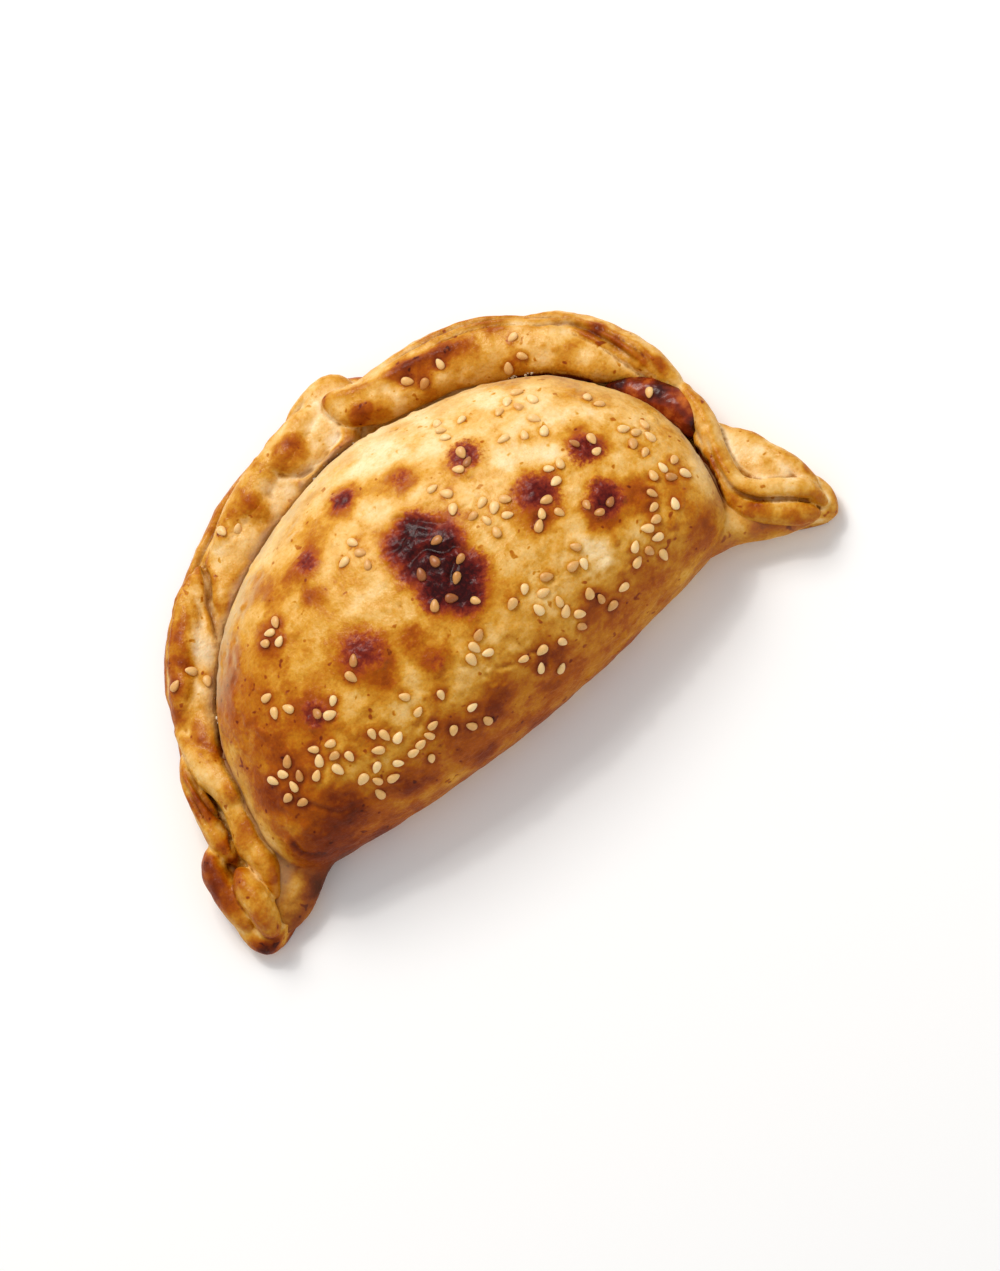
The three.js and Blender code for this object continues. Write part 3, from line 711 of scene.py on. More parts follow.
RIM_PALE_PATCHES = [
    (54.5, 70, 6, -0.14), (74, 6.4, 4, -0.22), (74, 10.6, 4.4, -0.1), (75.4, 1, 3.4, -0.16),
    (-47, 62, 5, -0.08), (-44, 66.4, 4.6, -0.08), (2, 83, 4.4, -0.25), (2.6, 78.6, 4, -0.25),
    (-36.6, 68.5, 4.4, -0.06), (-33, 70, 4, -0.06), (-52.8, 51.4, 4, -0.22), (-47.9, 58.8, 4, -0.22),
    (-56, 46, 4, -0.2), (-14.6, 78, 3.4, -0.06), (70, 19, 4, -0.2), (8, 89, 4, -0.1),
    (-62.8, 36, 3, -0.14), (-62.7, 30.2, 4, -0.05), (-71.4, 7, 4.6, -0.1),
]
print("patches:", len(LARGE_SCORCH + SCORCHED_SPOTS + BROWN_AND_SHADE_PATCHES + PALE_PATCHES), "on the belly,",
      len(RIM_BROWN_AND_SHADE_PATCHES + RIM_PALE_PATCHES), "on the rim")

# %% [markdown]
# ## Five values for every point
# The material will need five values at every point of a skin: how far it is baked, how far it is scorched, how
# floury and pale it stayed, how much painted shade darkens it in seams, creases and hollows, and how much egg
# wash it took. They come from the patches, from ridges and hollows, from the distance to the other skin and
# from noise, so the browning follows the shape.

# %% Bake and scorch
def browned(piece, start, patches):
    """The bake and scorch of every point, from a start value and a list of patches."""
    points, tree = skin[piece], tree_of(piece.data)
    wander = np.column_stack([layers(points, (2.2, 6, 21 + k), (1.1, 2, 31 + k)) for k in range(3)])
    raw = 1 - np.clip(start, 0, 1)
    scorch = np.zeros(len(points))
    for x, y, reach, depth, *seared in patches:
        stray = wander * (0.5 if seared else 1)
        away = np.linalg.norm(points + stray - np.array(drop(tree, x, y)[0]), axis=1)
        raw *= 1 - depth * (1 - step(0.1 * reach, 1.15 * reach, away))
        if seared:
            core, black = seared
            scorch = np.maximum(scorch, black * (1 - step(0.2 * core, 1.3 * core, away)))
    return 1 - raw, scorch


def ridges(piece, rounds):
    """How far each point stands out from its smoothed surroundings, in millimetres."""
    points = skin[piece]
    return ((points - smoothed(points, edges[piece], rounds)) * normals_of(piece.data)).sum(axis=1)


x, y, z = skin[body].T
fold_side = -normals_of(body.data)[:, 1]
belly_start = 0.36 + layers(skin[body], (0.1, 26, 11), (0.08, 9, 12), (0.06, 4, 13))
belly_start -= 0.09 * step(14, 56, y) * (1 - 0.8 * step(-6, 16, -x))  # paler towards the rim, most at the right, partly painted light from the window on the rim side
belly_start += 0.21 * step(0.3, 0.95, fold_side)  # browner down the fold side, partly baked colour and partly painted shade on the side turned from the window
belly_start -= 0.14 * step(28, 48, x) * step(0.2, 0.8, fold_side)  # but less at its right end
belly_start += 0.1 * step(30, 58, np.abs(x)) + 0.09 * step(20, 52, -x)  # browner at both ends
belly_start -= 0.27 * step(57, 63, -x) + 0.12 * step(57, 65, x)  # paler tails
belly_start += 0.12 * (1 - step(0, 13, z)) - 0.22 * (1 - step(0, 7, z))  # browner low down, partly from the tray and partly painted shade; the lowest 7 mm paler, painted light bounced up from the floor

x, y, z = skin[rim].T
rim_start = 0.27 + layers(skin[rim], (0.12, 12, 14), (0.1, 4, 15))
rim_start += 0.2 * np.clip(ridges(rim, 60) / 0.8, -0.5, 1) + 0.06 * np.clip(ridges(rim, 16) / 0.16, -0.5, 1)
rim_start += 0.2 * (1 - step(3.5, 7.5, z)) * step(40, 56, y)  # the thin outer edge
rim_start += 0.11 * step(58, 68, -x) * (1 - step(28, 44, y))  # the ropes at the left
floury_flaps = 0.75 * step(40, 54, y) * step(-14, 4, -x)
print("bake to start from:", belly_start.mean().round(2), "and", rim_start.mean().round(2))


# %% All five values
def crust_values(piece, start, patches, flour_reach, flour_share, wash_share):
    points, facing = skin[piece], normals_of(piece.data)
    bake, scorch = browned(piece, start, patches)
    wander = seam_away[piece] + 1.4 * lumps(points, 4, 41)
    flour = (1 - step(2.4, flour_reach, wander)) * open_seam[piece] * flour_share
    shade = np.zeros(len(points))
    if piece is body:
        x, y, _ = points.T
        pinched = 0.65 * (1 - step(0.8, 4.2, wander)) * tight[body] * step(3, 8, y)
        steep = 1 - step(0.5, 0.84, facing[:, 2] + 0.1 * lumps(points, 7, 42))
        steep *= step(36, 52, y) * (1 - 0.5 * step(0, 16, x))
        flour = np.maximum.reduce([flour, pinched, steep])
        # painted shade on the pinched belly edge, where the rope at the left end crowds it
        shade = 0.45 * tight[body] * (1 - step(0.5, 4.5, seam_away[body]))
    hollow = step(0.06, 0.3, -ridges(piece, 16))
    # painted shade: seams, creases, hollows and the pinched edge darken the colour and raise the bake
    painted_shade = np.maximum.reduce([step(0.2, 0.6, in_seam[piece]), shade, 0.75 * grooves[piece], 0.6 * hollow])
    wash = wash_share * step(-0.1, 0.75, facing[:, 2]) * (1 - 0.7 * flour)
    wash *= (1 - 0.35 * step(0.2, 0.8, scorch)) * (1 - 0.6 * step(0.4, 0.8, bake) * (1 - scorch))
    print(piece.name, "bake", bake.mean().round(2), "scorch", scorch.max().round(2))
    bake = np.clip(bake + 0.3 * painted_shade, 0, 1)
    return {"bake": bake, "scorch": scorch, "flour": flour, "seam_shade": painted_shade, "wash": wash}


belly_patches = LARGE_SCORCH + SCORCHED_SPOTS + BROWN_AND_SHADE_PATCHES + PALE_PATCHES
rim_patches = RIM_BROWN_AND_SHADE_PATCHES + RIM_PALE_PATCHES
values = {
    body: crust_values(body, belly_start, belly_patches, flour_reach=8.5, flour_share=1, wash_share=1.1),
    rim: crust_values(rim, rim_start, rim_patches, flour_reach=4.4, flour_share=floury_flaps, wash_share=1.6),
}

# %% [markdown]
# ## Crumpled scorches
# Skin that burns dries, shrinks and crumples, and small bubbles set at its edge. So half-scorched points
# get pimples, and noise that grows with the scorch folds the burnt skin. It is done after the browning,
# because only now is it known how far each point is burnt.

# %% Crumple the scorched patches
PIMPLES = 420
PIMPLE_RADII = (0.6, 1.3)
scorch = values[body]["scorch"]
half_burnt = skin[body][(scorch > 0.2) & (scorch < 0.8)]
push(body, bubbled(body, PIMPLES, 5, half_burnt, PIMPLE_RADII))
push(body, scorch ** 2 * layers(skin[body], (0.5, 4.6, 51), (0.22, 1.8, 52), (0.1, 1, 53)))
print("pimples:", PIMPLES, "on", len(half_burnt), "half-burnt points")

# %% [markdown]
# ## Flour crumbs
# Tiny crumbs of flour and dry dough lie in the open seam of the flaps and the roll. Each is a small ball
# with its points pushed about, set on a random point of the seam's edge. They are one piece.

# %% Crumbs
CRUMB_COUNT = 60
CRUMB_RADIUS = (0.12, 0.55)


def crumbs_in(places, seed):
    draw = np.random.default_rng(seed)
    smallest, largest = CRUMB_RADIUS
    bm = bmesh.new()
    for place in places[draw.choice(len(places), CRUMB_COUNT, replace=False)]:
        size = smallest + (largest - smallest) * draw.random() ** 3
        ball = bmesh.ops.create_icosphere(bm, subdivisions=2, radius=1)
        for vert in ball["verts"]:
            vert.co = Vector(place) + vert.co * size * draw.uniform(0.6, 1.3)
    return in_scene("flour_crumbs", mesh_from(bm, "flour_crumbs"))


x, y, _ = skin[rim].T
seam_edge = (in_seam[rim] > 0.1) & (in_seam[rim] < 0.6) & (normals_of(rim.data)[:, 2] > 0.1)
seam_edge &= (y > 44) & (x < 46)
crumbs = crumbs_in(skin[rim][seam_edge], 9)
print("crumbs:", CRUMB_COUNT)

# %% [markdown]
# ## Sesame seeds
# Sesame seeds are flat teardrops, about three millimetres long, pressed into the egg wash. They lie in
# loose groups, as they fell from the hand. A particle system could scatter them, but then their places
# would depend on the mesh. Here each group is told by its place, its count and how far it reaches along X
# and Y, and its seeds follow a turning spiral.

# %% Seed places
SEED_GROUPS = [
    (36.5, 54.5, 5, 4.5, 3.6), (22.5, 58.6, 4, 5.5, 3), (34.5, 46.6, 4, 6, 3.6), (49.5, 44.4, 2, 3.6, 2.4),
    (43, 36, 3, 3.6, 3), (52.5, 32, 6, 3.6, 4.6), (53.3, 22.6, 5, 4, 3.2), (47.6, 17, 4, 5.2, 3.2),
    (40.3, 11.4, 6, 4.8, 3.4), (20.5, 48.3, 3, 2.6, 2.6), (12.5, 44.5, 3, 2, 4.6), (18.5, 34, 7, 4.4, 5.2),
    (33.7, 34.3, 3, 2.6, 3.2), (28, 27.8, 4, 4.8, 2.8), (37, 22.4, 3, 3.2, 2.8), (26.8, 16.5, 3, 2.2, 3.6),
    (15, 15.6, 6, 6, 4.4), (23.5, 8, 7, 8, 3), (9, 6, 5, 6.4, 3), (-0.7, 13.8, 4, 3.4, 2.8),
    (-17, 12.4, 4, 6.5, 4.5), (-12, 5.4, 4, 4.8, 2.8), (3, 29, 8, 6.5, 9.5), (-10, 45, 4, 4.4, 4),
    (-23.6, 26.3, 2, 2.8, 2.4), (-33.2, 44, 4, 3, 3.4), (-42, 31, 3, 3, 4), (-33.6, 23.3, 3, 2.8, 2.8),
    (-50, 18, 7, 4.2, 5), (-40, 15.6, 7, 5.2, 4), (-28.4, 11.6, 4, 3.8, 2.8), (-22.5, 6.2, 4, 3, 3),
    (-33.4, 7.2, 6, 5, 3), (26, 76.4, 3, 5.5, 3), (44.5, 68.5, 3, 4, 4.4), (-28.5, 77, 2, 3.4, 1.6),
    (-55, 56, 3, 4.4, 4),
]
FILLING_SEED_GROUPS = [(61.4, 42.6, 1, 0, 0)]
GOLDEN_ANGLE = math.pi * (3 - math.sqrt(5))
SEED_SPIN = 1.7


def seed_spots(groups):
    """The place of each seed on the plan, and the way it points."""
    for group, (x, y, count, reach_x, reach_y) in enumerate(groups):
        for i in range(count):
            turn = GOLDEN_ANGLE * (i + 1) + group
            reach = math.sqrt((i + 0.5) / count)
            yield x + reach_x * reach * math.cos(turn), y + reach_y * reach * math.sin(turn), turn * SEED_SPIN


print("seed groups:", len(SEED_GROUPS))


# %% One seed
def seed_shape(rings=10, sides=14):
    """Points and faces of one teardrop seed, a unit long, pointed at +X."""
    points = [(-0.5, 0, 0)]
    for i in range(1, rings):
        angle = math.pi * i / rings
        x = -math.cos(angle)
        wide = math.sin(angle) ** 0.85 * (1 - 0.26 * x - 0.1 * x * x)
        for k in range(sides):
            round_angle = 2 * math.pi * k / sides
            points.append((x / 2, wide / 2 * math.cos(round_angle), wide / 2 * math.sin(round_angle)))
    points.append((0.5, 0, 0))
    last = len(points) - 1
    after = [(k + 1) % sides for k in range(sides)]
    faces = [(0, 1 + after[k], 1 + k) for k in range(sides)]
    for first in range(1, last - sides, sides):
        for k in range(sides):
            faces.append((first + k, first + after[k], first + sides + after[k], first + sides + k))
    first = last - sides
    faces += [(first + k, first + after[k], last) for k in range(sides)]
    return np.array(points), faces


print("one seed:", len(seed_shape()[0]), "points")

# %% [markdown]
# ## Seeds on the skin
# Each seed drops straight down, sinks a little into the egg wash and lies along the skin. Seeds on dark
# patches are toasted darker, so every seed looks up the bake below it. All seeds of the crust are one mesh.

# %% Lay the seeds
SEED_SIZE = (2.8, 1.9, 1.2)
SEED_SINK = 0.42


def seeds_on(name, tree, groups, darkness, seed):
    draw = np.random.default_rng(seed)
    shape, faces = seed_shape()
    length, width, thickness = SEED_SIZE
    points, polygons, toast = [], [], []
    for x, y, heading in seed_spots(groups):
        place, normal = drop(tree, x, y)
        size = draw.uniform(0.84, 1.08)
        grown = shape * (length, width * draw.uniform(0.92, 1.06), thickness) * size
        lean = Matrix.Rotation(draw.uniform(-0.16, 0.16), 3, "Y")
        upright = Vector((0, 0, 1)).rotation_difference(normal).to_matrix()
        lie = upright @ Matrix.Rotation(heading, 3, "Z") @ lean
        centre = place + normal * (thickness / 2 - SEED_SINK)
        first = len(points) * len(shape)
        points.append(grown @ np.array(lie).T + np.array(centre))
        polygons += [tuple(first + i for i in face) for face in faces]
        toast += [float(np.clip(darkness(place) + draw.normal(0, 0.18), 0, 1))] * len(shape)
    mesh = bpy.data.meshes.new(name)
    mesh.from_pydata(np.vstack(points), [], polygons)
    mesh.attributes.new("toast", "FLOAT", "POINT").data.foreach_set("value", np.array(toast, np.float32))
    return in_scene(name, mesh), len(points)


def joined_tree(*pieces):
    """One tree for several skins, and its faces as lists of points."""
    points, polygons = [], []
    for piece in pieces:
        first = len(points)
        points += [v.co.copy() for v in piece.data.vertices]
        polygons += [[first + i for i in polygon.vertices] for polygon in piece.data.polygons]
    return BVHTree.FromPolygons(points, polygons), polygons


crust_tree, crust_faces = joined_tree(body, rim)
crust_bake = np.concatenate([values[piece]["bake"] + values[piece]["scorch"] for piece in (body, rim)])


def crust_darkness(place):
    face = crust_tree.find_nearest(place)[2]
    return 0.15 + 0.4 * crust_bake[crust_faces[face][0]]


seeds, count = seeds_on("sesame_seeds", crust_tree, SEED_GROUPS, crust_darkness, 7)
print("seeds on the crust:", count)

# %% [markdown]
# ## A ring round each seed
# Egg wash pools round a seed and browns there, which draws a thin amber ring. The ring is partly painted shade
# too, the thin shade round the edge of a raised seed. The bake rises near each seed, with a fourth power that
# makes the ring's edge crisp.

# %% Brown the egg wash round the seeds
SEED_RING = 1.75
SEED_RING_BAKE_AND_SHADE = 0.17
seed_finder = finder_of([drop(crust_tree, x, y)[0] for x, y, _ in seed_spots(SEED_GROUPS)])
for piece in (body, rim):
    away = np.array([seed_finder.find(point)[2] for point in skin[piece]])
    values[piece]["bake"] += SEED_RING_BAKE_AND_SHADE * np.exp(-((away / SEED_RING) ** 4))
    print(piece.name, "points in a ring:", (away < SEED_RING).sum())

# %% [markdown]
# ## The burst filling
# At the right end of the roll some filling boiled out of the seam and set as a dark, glossy lump. It is the
# same kind of lobe as a fold, remeshed fine and roughened with noise. One seed lies on it.

# %% Filling lump
FILLING = Fold(
    [(55, 52, 7.5), (59.6, 46, 8.6), (63.2, 40, 9), (64.4, 34.6, 9), (63.4, 30, 7.6)],
    (3, 8.6, 7), (6, 9, 7),
)
FILLING_VOXEL = 0.35
filling = remeshed("filling_lump", [lobe(FILLING)], FILLING_VOXEL)
lump_skin = smoothed(points_of(filling.data), edges_of(filling.data), 3)
set_points(filling.data, lump_skin)
wrinkles = 1 - 2 * np.abs(lumps(lump_skin, 1.5, 62))
roughness = 0.3 * lumps(lump_skin, 3.2, 61) + 0.14 * wrinkles - 0.15
lump_skin += normals_of(filling.data) * roughness[:, None]
set_points(filling.data, lump_skin)
filling_tree = tree_of(filling.data)
filling_seed, count = seeds_on("filling_seed", filling_tree, FILLING_SEED_GROUPS, lambda place: 0.35, 8)
print("filling:", len(filling.data.polygons), "faces,", count, "seed on it")

# %% [markdown]
# ## Lighter skins
# Shaping is done, so the five values are stored on the points of each skin. The skins are finer than they
# need to be where the dough is smooth. A decimate modifier joins points there first and keeps the bubbles
# and creases, and it carries the stored values along.

# %% Store the values and thin the skins
MOST_TRIANGLES = 190_000
for piece, maps in values.items():
    for name, amounts in maps.items():
        store = piece.data.attributes.new(name, "FLOAT", "POINT")
        store.data.foreach_set("value", amounts.astype(np.float32))
    triangles = sum(len(polygon.vertices) - 2 for polygon in piece.data.polygons)
    thinner = piece.modifiers.new("thinner", "DECIMATE")
    thinner.ratio = min(1, MOST_TRIANGLES / triangles)
    shaped_by_modifiers(piece)
    piece.data.calc_loop_triangles()
    print(piece.name, triangles, "triangles thinned to", len(piece.data.loop_triangles))

# %% [markdown]
# ## Into the frame
# The plan's millimetres become the frame's metres. The frame's origin is the middle of the base, so the
# plan moves by the middle of the crust's own box.

# %% Move to metres
MM = 0.001
whole = np.vstack([skin[body], skin[rim]])
middle = (whole.min(axis=0) + whole.max(axis=0)) / 2
plan_to_frame = Matrix.Scale(MM, 4) @ Matrix.Translation((-middle[0], -middle[1], 0))
for piece in (body, rim, crumbs, seeds, filling, filling_seed):
    piece.data.transform(plan_to_frame)
    piece.data.shade_smooth()
print("plan moved by", (-middle[:2]).round(2), "mm")

# %% [markdown]
# ## Materials from nodes
# Every finish here is a Principled shader fed by attributes and noise. A few helpers keep the node trees
# short: they add a node with its inputs, a sum, a noise or a colour ramp. Colours are given as a screen
# shows them and turned into linear light.

# %% Node helpers
def tone(red, green, blue):
    """A screen colour, 0 to 255, as linear light."""
    shares = (red / 255, green / 255, blue / 255)
    return (*(s / 12.92 if s <= 0.04045 else ((s + 0.055) / 1.055) ** 2.4 for s in shares), 1.0)


def feed(tree, node, inputs):
    """Sets a node's inputs to values, or links them to other nodes."""
    for key, value in inputs.items():
        if isinstance(value, bpy.types.NodeSocket):
            tree.links.new(value, node.inputs[key])
        else:
            node.inputs[key].default_value = value


def add(tree, kind, inputs=None, **settings):
    made = tree.nodes.new(kind)
    for key, value in settings.items():
        setattr(made, key, value)
    feed(tree, made, inputs or {})
    return made


def ramp(tree, value, stops):
    made = add(tree, "ShaderNodeValToRGB", {"Fac": value})
    stripes = made.color_ramp.elements
    while len(stripes) < len(stops):
        stripes.new(0.5)
    for stripe, (place, colour) in zip(stripes, stops):
        stripe.position = place
        stripe.color = tone(*colour)
    return made.outputs["Color"]


def product(tree, first, second):
    return add(tree, "ShaderNodeMath", {0: first, 1: second}, operation="MULTIPLY").outputs["Value"]


def scaled_sum(tree, value, factor, base):
    """The value times a factor, on top of a base."""
    inputs = {0: value, 1: factor, 2: base}
    return add(tree, "ShaderNodeMath", inputs, operation="MULTIPLY_ADD").outputs["Value"]


def shifted(tree, value, wave, amount):
    """A value moved up and down by noise."""
    centred = add(tree, "ShaderNodeMath", {0: wave, 1: 0.5}, operation="SUBTRACT").outputs["Value"]
    return scaled_sum(tree, centred, amount, value)


def soft_range(tree, value, low, high):
    inputs = {"Value": value, "From Min": low, "From Max": high}
    return add(tree, "ShaderNodeMapRange", inputs, interpolation_type="SMOOTHSTEP").outputs["Result"]


def colour_mix(tree, factor, first, second, blend="MIX"):
    inputs = {0: factor, 6: first, 7: second}
    return add(tree, "ShaderNodeMix", inputs, data_type="RGBA", blend_type=blend).outputs[2]


def noise_node(tree, place, size_mm, detail=3.0, roughness=0.55):
    inputs = {"Vector": place, "Scale": 1000 / size_mm, "Detail": detail, "Roughness": roughness}
    return add(tree, "ShaderNodeTexNoise", inputs).outputs["Fac"]


def attribute(tree, name):
    return add(tree, "ShaderNodeAttribute", attribute_name=name).outputs["Fac"]


def new_finish(name):
    """A material with its node tree, its shader and the place on the object."""
    material = bpy.data.materials.new(name)
    material.use_nodes = True
    tree = material.node_tree
    tree.nodes.clear()
    shader = add(tree, "ShaderNodeBsdfPrincipled")
    add(tree, "ShaderNodeOutputMaterial", {"Surface": shader.outputs["BSDF"]})
    return material, tree, shader, add(tree, "ShaderNodeTexCoord").outputs["Object"]


print("mid grey as linear light:", round(tone(128, 128, 128)[0], 3))

# %% [markdown]
# ## The crust's colour
# Baked pastry goes from cream through gold and amber to deep brown as it bakes, so one colour ramp, driven by
# the bake value with fine noise on it, gives most of the colour. Scorched skin is another ramp, from red-brown
# to purple-black. The floury strips by the seam are pale, and the seam, the creases and the hollows are
# darkened with painted shade.

# %% Crust colour
BAKED_COLOURS = [
    (0.0, (250, 231, 192)), (0.15, (245, 213, 159)), (0.3, (231, 183, 104)), (0.42, (212, 150, 46)),
    (0.53, (188, 115, 12)), (0.64, (165, 80, 0)), (0.8, (123, 45, 0)), (1.0, (72, 18, 0)),
]
BURNT_COLOURS = [
    (0.15, (196, 104, 18)), (0.36, (160, 66, 22)), (0.58, (126, 40, 24)), (0.8, (92, 20, 16)),
    (1.0, (50, 9, 11)),
]
FLOUR_COLOUR = tone(213, 185, 140)
# the dark brown of painted shade in seams, creases and hollows
SEAM_SHADE_COLOUR = tone(132, 78, 36)
crust_finish, nodes, crust_shader, place = new_finish("egg_washed_crust")
mottle = noise_node(nodes, place, 7, detail=5)
fleck = noise_node(nodes, place, 0.9, detail=3, roughness=0.65)
speck = soft_range(nodes, noise_node(nodes, place, 2.2, detail=1), 0.68, 0.76)
stain = soft_range(nodes, noise_node(nodes, place, 7, detail=4, roughness=0.6), 0.46, 0.6)
bake_value = shifted(nodes, attribute(nodes, "bake"), mottle, 0.36)
bake_value = shifted(nodes, bake_value, fleck, 0.22)
bake_value = scaled_sum(nodes, speck, 0.22, bake_value)
bake_value = scaled_sum(nodes, stain, 0.06, bake_value)
scorch_value = shifted(nodes, attribute(nodes, "scorch"), fleck, 0.9)
flour_value = product(nodes, attribute(nodes, "flour"), soft_range(nodes, mottle, 0.3, 0.54))
baked, burnt = ramp(nodes, bake_value, BAKED_COLOURS), ramp(nodes, scorch_value, BURNT_COLOURS)
colour = colour_mix(nodes, soft_range(nodes, scorch_value, 0.06, 0.5), baked, burnt)
colour = colour_mix(nodes, product(nodes, flour_value, 0.76), colour, FLOUR_COLOUR)
# painted shade in seams, creases and hollows, multiplied in
colour = colour_mix(nodes, attribute(nodes, "seam_shade"), colour, SEAM_SHADE_COLOUR, "MULTIPLY")
print("colour nodes:", len(nodes.nodes))

# %% [markdown]
# ## The crust's gloss
# Egg wash is brushed on from above, so the gloss is a clear coat that follows the wash value: strongest on
# top, weak on floury and deeply baked places. Fine bumps break it up. A little light goes into the dough and
# comes out warm, as it does in real pastry.

# %% Crust gloss
gloss = scaled_sum(nodes, fleck, 0.3, 0.3)
gloss = scaled_sum(nodes, attribute(nodes, "scorch"), -0.2, gloss)
gloss = scaled_sum(nodes, attribute(nodes, "flour"), 0.3, gloss)
grain = add(nodes, "ShaderNodeBump", {
    "Height": scaled_sum(nodes, fleck, 0.5, noise_node(nodes, place, 2.4)),
    "Strength": scaled_sum(nodes, attribute(nodes, "scorch"), -0.3, 0.75),
    "Distance": 0.0005,
}).outputs["Normal"]
feed(nodes, crust_shader, {
    "Base Color": colour, "Roughness": gloss, "Specular IOR Level": 0.07, "Normal": grain,
    "Coat Weight": product(nodes, attribute(nodes, "wash"), 0.16), "Coat Roughness": 0.17, "Coat Normal": grain,
    "Subsurface Weight": 0.1, "Subsurface Radius": (1.0, 0.45, 0.18), "Subsurface Scale": 0.001,
})
for piece in (body, rim):
    piece.data.materials.append(crust_finish)
print("crust finish:", len(nodes.nodes), "nodes")

# %% [markdown]
# ## Seeds, filling and flour
# Hulled sesame is ivory, and toasts to tan. The filling is dark and wet-looking, so it gets a clear coat
# over a deep red-brown. Flour is nearly white and quite dull.

# %% Seed, filling and flour materials
SEED_COLOURS = [(0.0, (244, 210, 150)), (0.35, (230, 182, 110)), (0.65, (202, 140, 68)), (1.0, (152, 84, 34))]
FILLING_COLOURS = [(0.34, (58, 10, 6)), (0.5, (132, 44, 10)), (0.66, (206, 110, 36))]
DRY_FLOUR_COLOURS = [(0.35, (226, 206, 170)), (0.65, (246, 236, 216))]

seed_finish, nodes, shader, place = new_finish("toasted_sesame")
toast_value = shifted(nodes, attribute(nodes, "toast"), noise_node(nodes, place, 0.6), 0.3)
feed(nodes, shader, {
    "Base Color": ramp(nodes, toast_value, SEED_COLOURS), "Roughness": 0.38,
    "Subsurface Weight": 0.15, "Subsurface Radius": (1.0, 0.6, 0.3), "Subsurface Scale": 0.0006,
})
for piece in (seeds, filling_seed):
    piece.data.materials.append(seed_finish)

filling_finish, nodes, shader, place = new_finish("caramelised_filling")
lumpy = add(nodes, "ShaderNodeBump", {
    "Height": noise_node(nodes, place, 1.0), "Strength": 0.4, "Distance": 0.0003,
}).outputs["Normal"]
feed(nodes, shader, {
    "Base Color": ramp(nodes, noise_node(nodes, place, 6, detail=4), FILLING_COLOURS),
    "Roughness": scaled_sum(nodes, noise_node(nodes, place, 1.5), 0.3, 0.12), "Specular IOR Level": 0.2,
    "Coat Weight": 0.12, "Coat Roughness": 0.12, "Normal": lumpy,
})
filling.data.materials.append(filling_finish)

flour_finish, nodes, shader, place = new_finish("dry_flour")
flour_colour = ramp(nodes, noise_node(nodes, place, 3), DRY_FLOUR_COLOURS)
feed(nodes, shader, {"Base Color": flour_colour, "Roughness": 0.9})
crumbs.data.materials.append(flour_finish)
print("finishes:", [made.name for made in (crust_finish, seed_finish, filling_finish, flour_finish)])

# %% [markdown]
# ## The floor
# The empanada lies on a plain pale floor, which isn't part of it. The floor is a hair below the tray plane,
# so the two flat faces don't flicker through each other.

# %% Floor
FLOOR_SIZE = 6
FLOOR_GAP = 0.0002
bpy.ops.mesh.primitive_plane_add(size=FLOOR_SIZE, location=(0, 0, -FLOOR_GAP))
floor = bpy.context.object
floor.name = "pale_floor"
floor_finish, nodes, shader, _ = new_finish("pale_floor_paint")
feed(nodes, shader, {"Base Color": (0.93, 0.93, 0.93, 1), "Roughness": 0.7})
floor.data.materials.append(floor_finish)
print("floor:", FLOOR_SIZE, "m wide")

# %% [markdown]
# ## The camera
# The camera looks down steeply and is turned about its own line of sight, so the fold runs up to the right.
# It is built from three directions, right, up and along its look, because that is plainer than three turns.

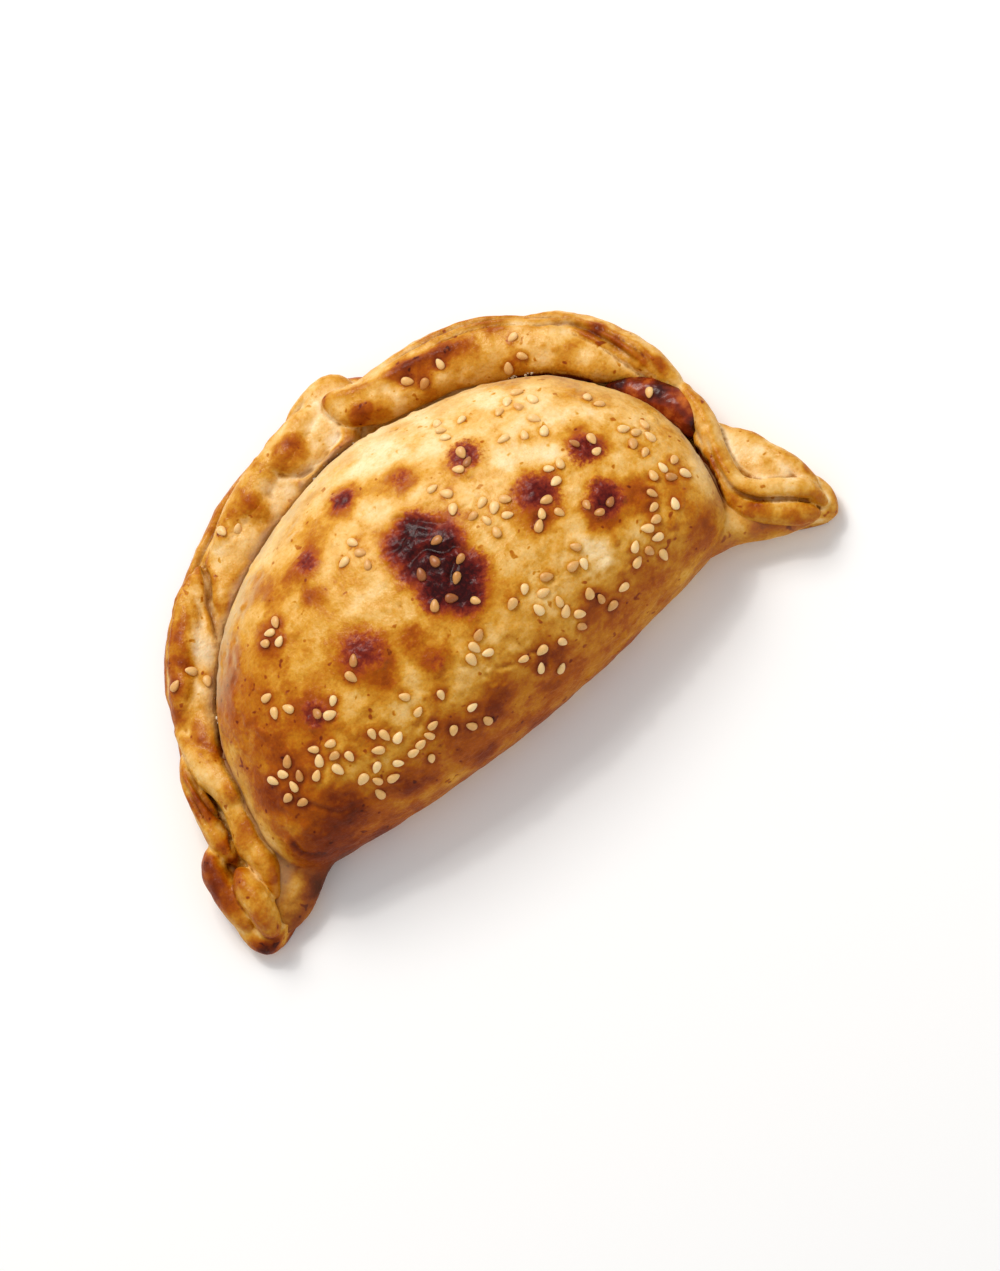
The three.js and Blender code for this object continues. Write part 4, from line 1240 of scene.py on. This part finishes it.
# %% Camera
ELEVATION = math.radians(72)
ROLL = math.radians(37.8)
DISTANCE = 0.8
VIEW_HEIGHT = 0.272
SENSOR = 36
AIM_ON_PLAN = (4, 21, 10)
level = Vector((1, 0, 0))
rise = Vector((0, math.sin(ELEVATION), math.cos(ELEVATION)))
look = Vector((0, math.cos(ELEVATION), -math.sin(ELEVATION)))
right = math.cos(ROLL) * level - math.sin(ROLL) * rise
upward = math.sin(ROLL) * level + math.cos(ROLL) * rise
aim = plan_to_frame @ Vector(AIM_ON_PLAN)
lens = bpy.data.cameras.new("camera")
lens.sensor_fit = "VERTICAL"
lens.sensor_height = SENSOR
lens.lens = SENSOR * DISTANCE / VIEW_HEIGHT
camera = in_scene("camera", lens)
turned = Matrix((right, upward, -look)).transposed().to_4x4()
camera.matrix_world = Matrix.Translation(aim - look * DISTANCE) @ turned
bpy.context.scene.camera = camera
print("lens:", round(lens.lens, 1), "mm")

# %% [markdown]
# ## The light
# The light is a large soft window above the rim side, a small bright lamp beside it for crisp glints on the
# egg wash, and a weak fill from the other side. A pale world lights the shadows.

# %% Lights
DAYLIGHT = (1, 0.97, 0.93)
WORLD_STRENGTH = 0.6


def softbox(name, place, size, power, tint=(1, 1, 1)):
    lamp = bpy.data.lights.new(name, "AREA")
    lamp.shape = "RECTANGLE"
    lamp.size, lamp.size_y = size, size
    lamp.energy = power
    lamp.color = tint
    holder = in_scene(name, lamp)
    holder.location = place
    holder.rotation_euler = (aim - place).to_track_quat("-Z", "Y").to_euler()


softbox("window", aim + Vector((0.08, 0.63, 0.77)), size=0.5, power=6.3, tint=DAYLIGHT)
softbox("glint", aim + Vector((0.04, 0.5, 0.74)), size=0.06, power=0.9, tint=DAYLIGHT)
softbox("fill", aim + right * 0.7 - upward * 0.4 - look * 0.6, size=0.7, power=0.8)
world = bpy.data.worlds.new("studio")
world.use_nodes = True
feed(world.node_tree, world.node_tree.nodes["Background"], {"Color": (1, 1, 1, 1), "Strength": WORLD_STRENGTH})
bpy.context.scene.world = world
bpy.context.scene.view_settings.view_transform = "Standard"
print("lamps:", len(bpy.data.lights))

# %% [markdown]
# ## Onto the body
# Each piece rides on the object's one body, and the solid it stands in for is hidden.

# %% Ride, and hide the solids
for piece, node, slot in (
    (body, "crust", "baked_crust"), (rim, "crust", "baked_crust"), (seeds, "crust", "baked_crust"),
    (crumbs, "crust", "baked_crust"),
    (filling, "burst_filling", "caramelised_filling"), (filling_seed, "burst_filling", "caramelised_filling"),
):
    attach(piece, "root")
    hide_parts(node)
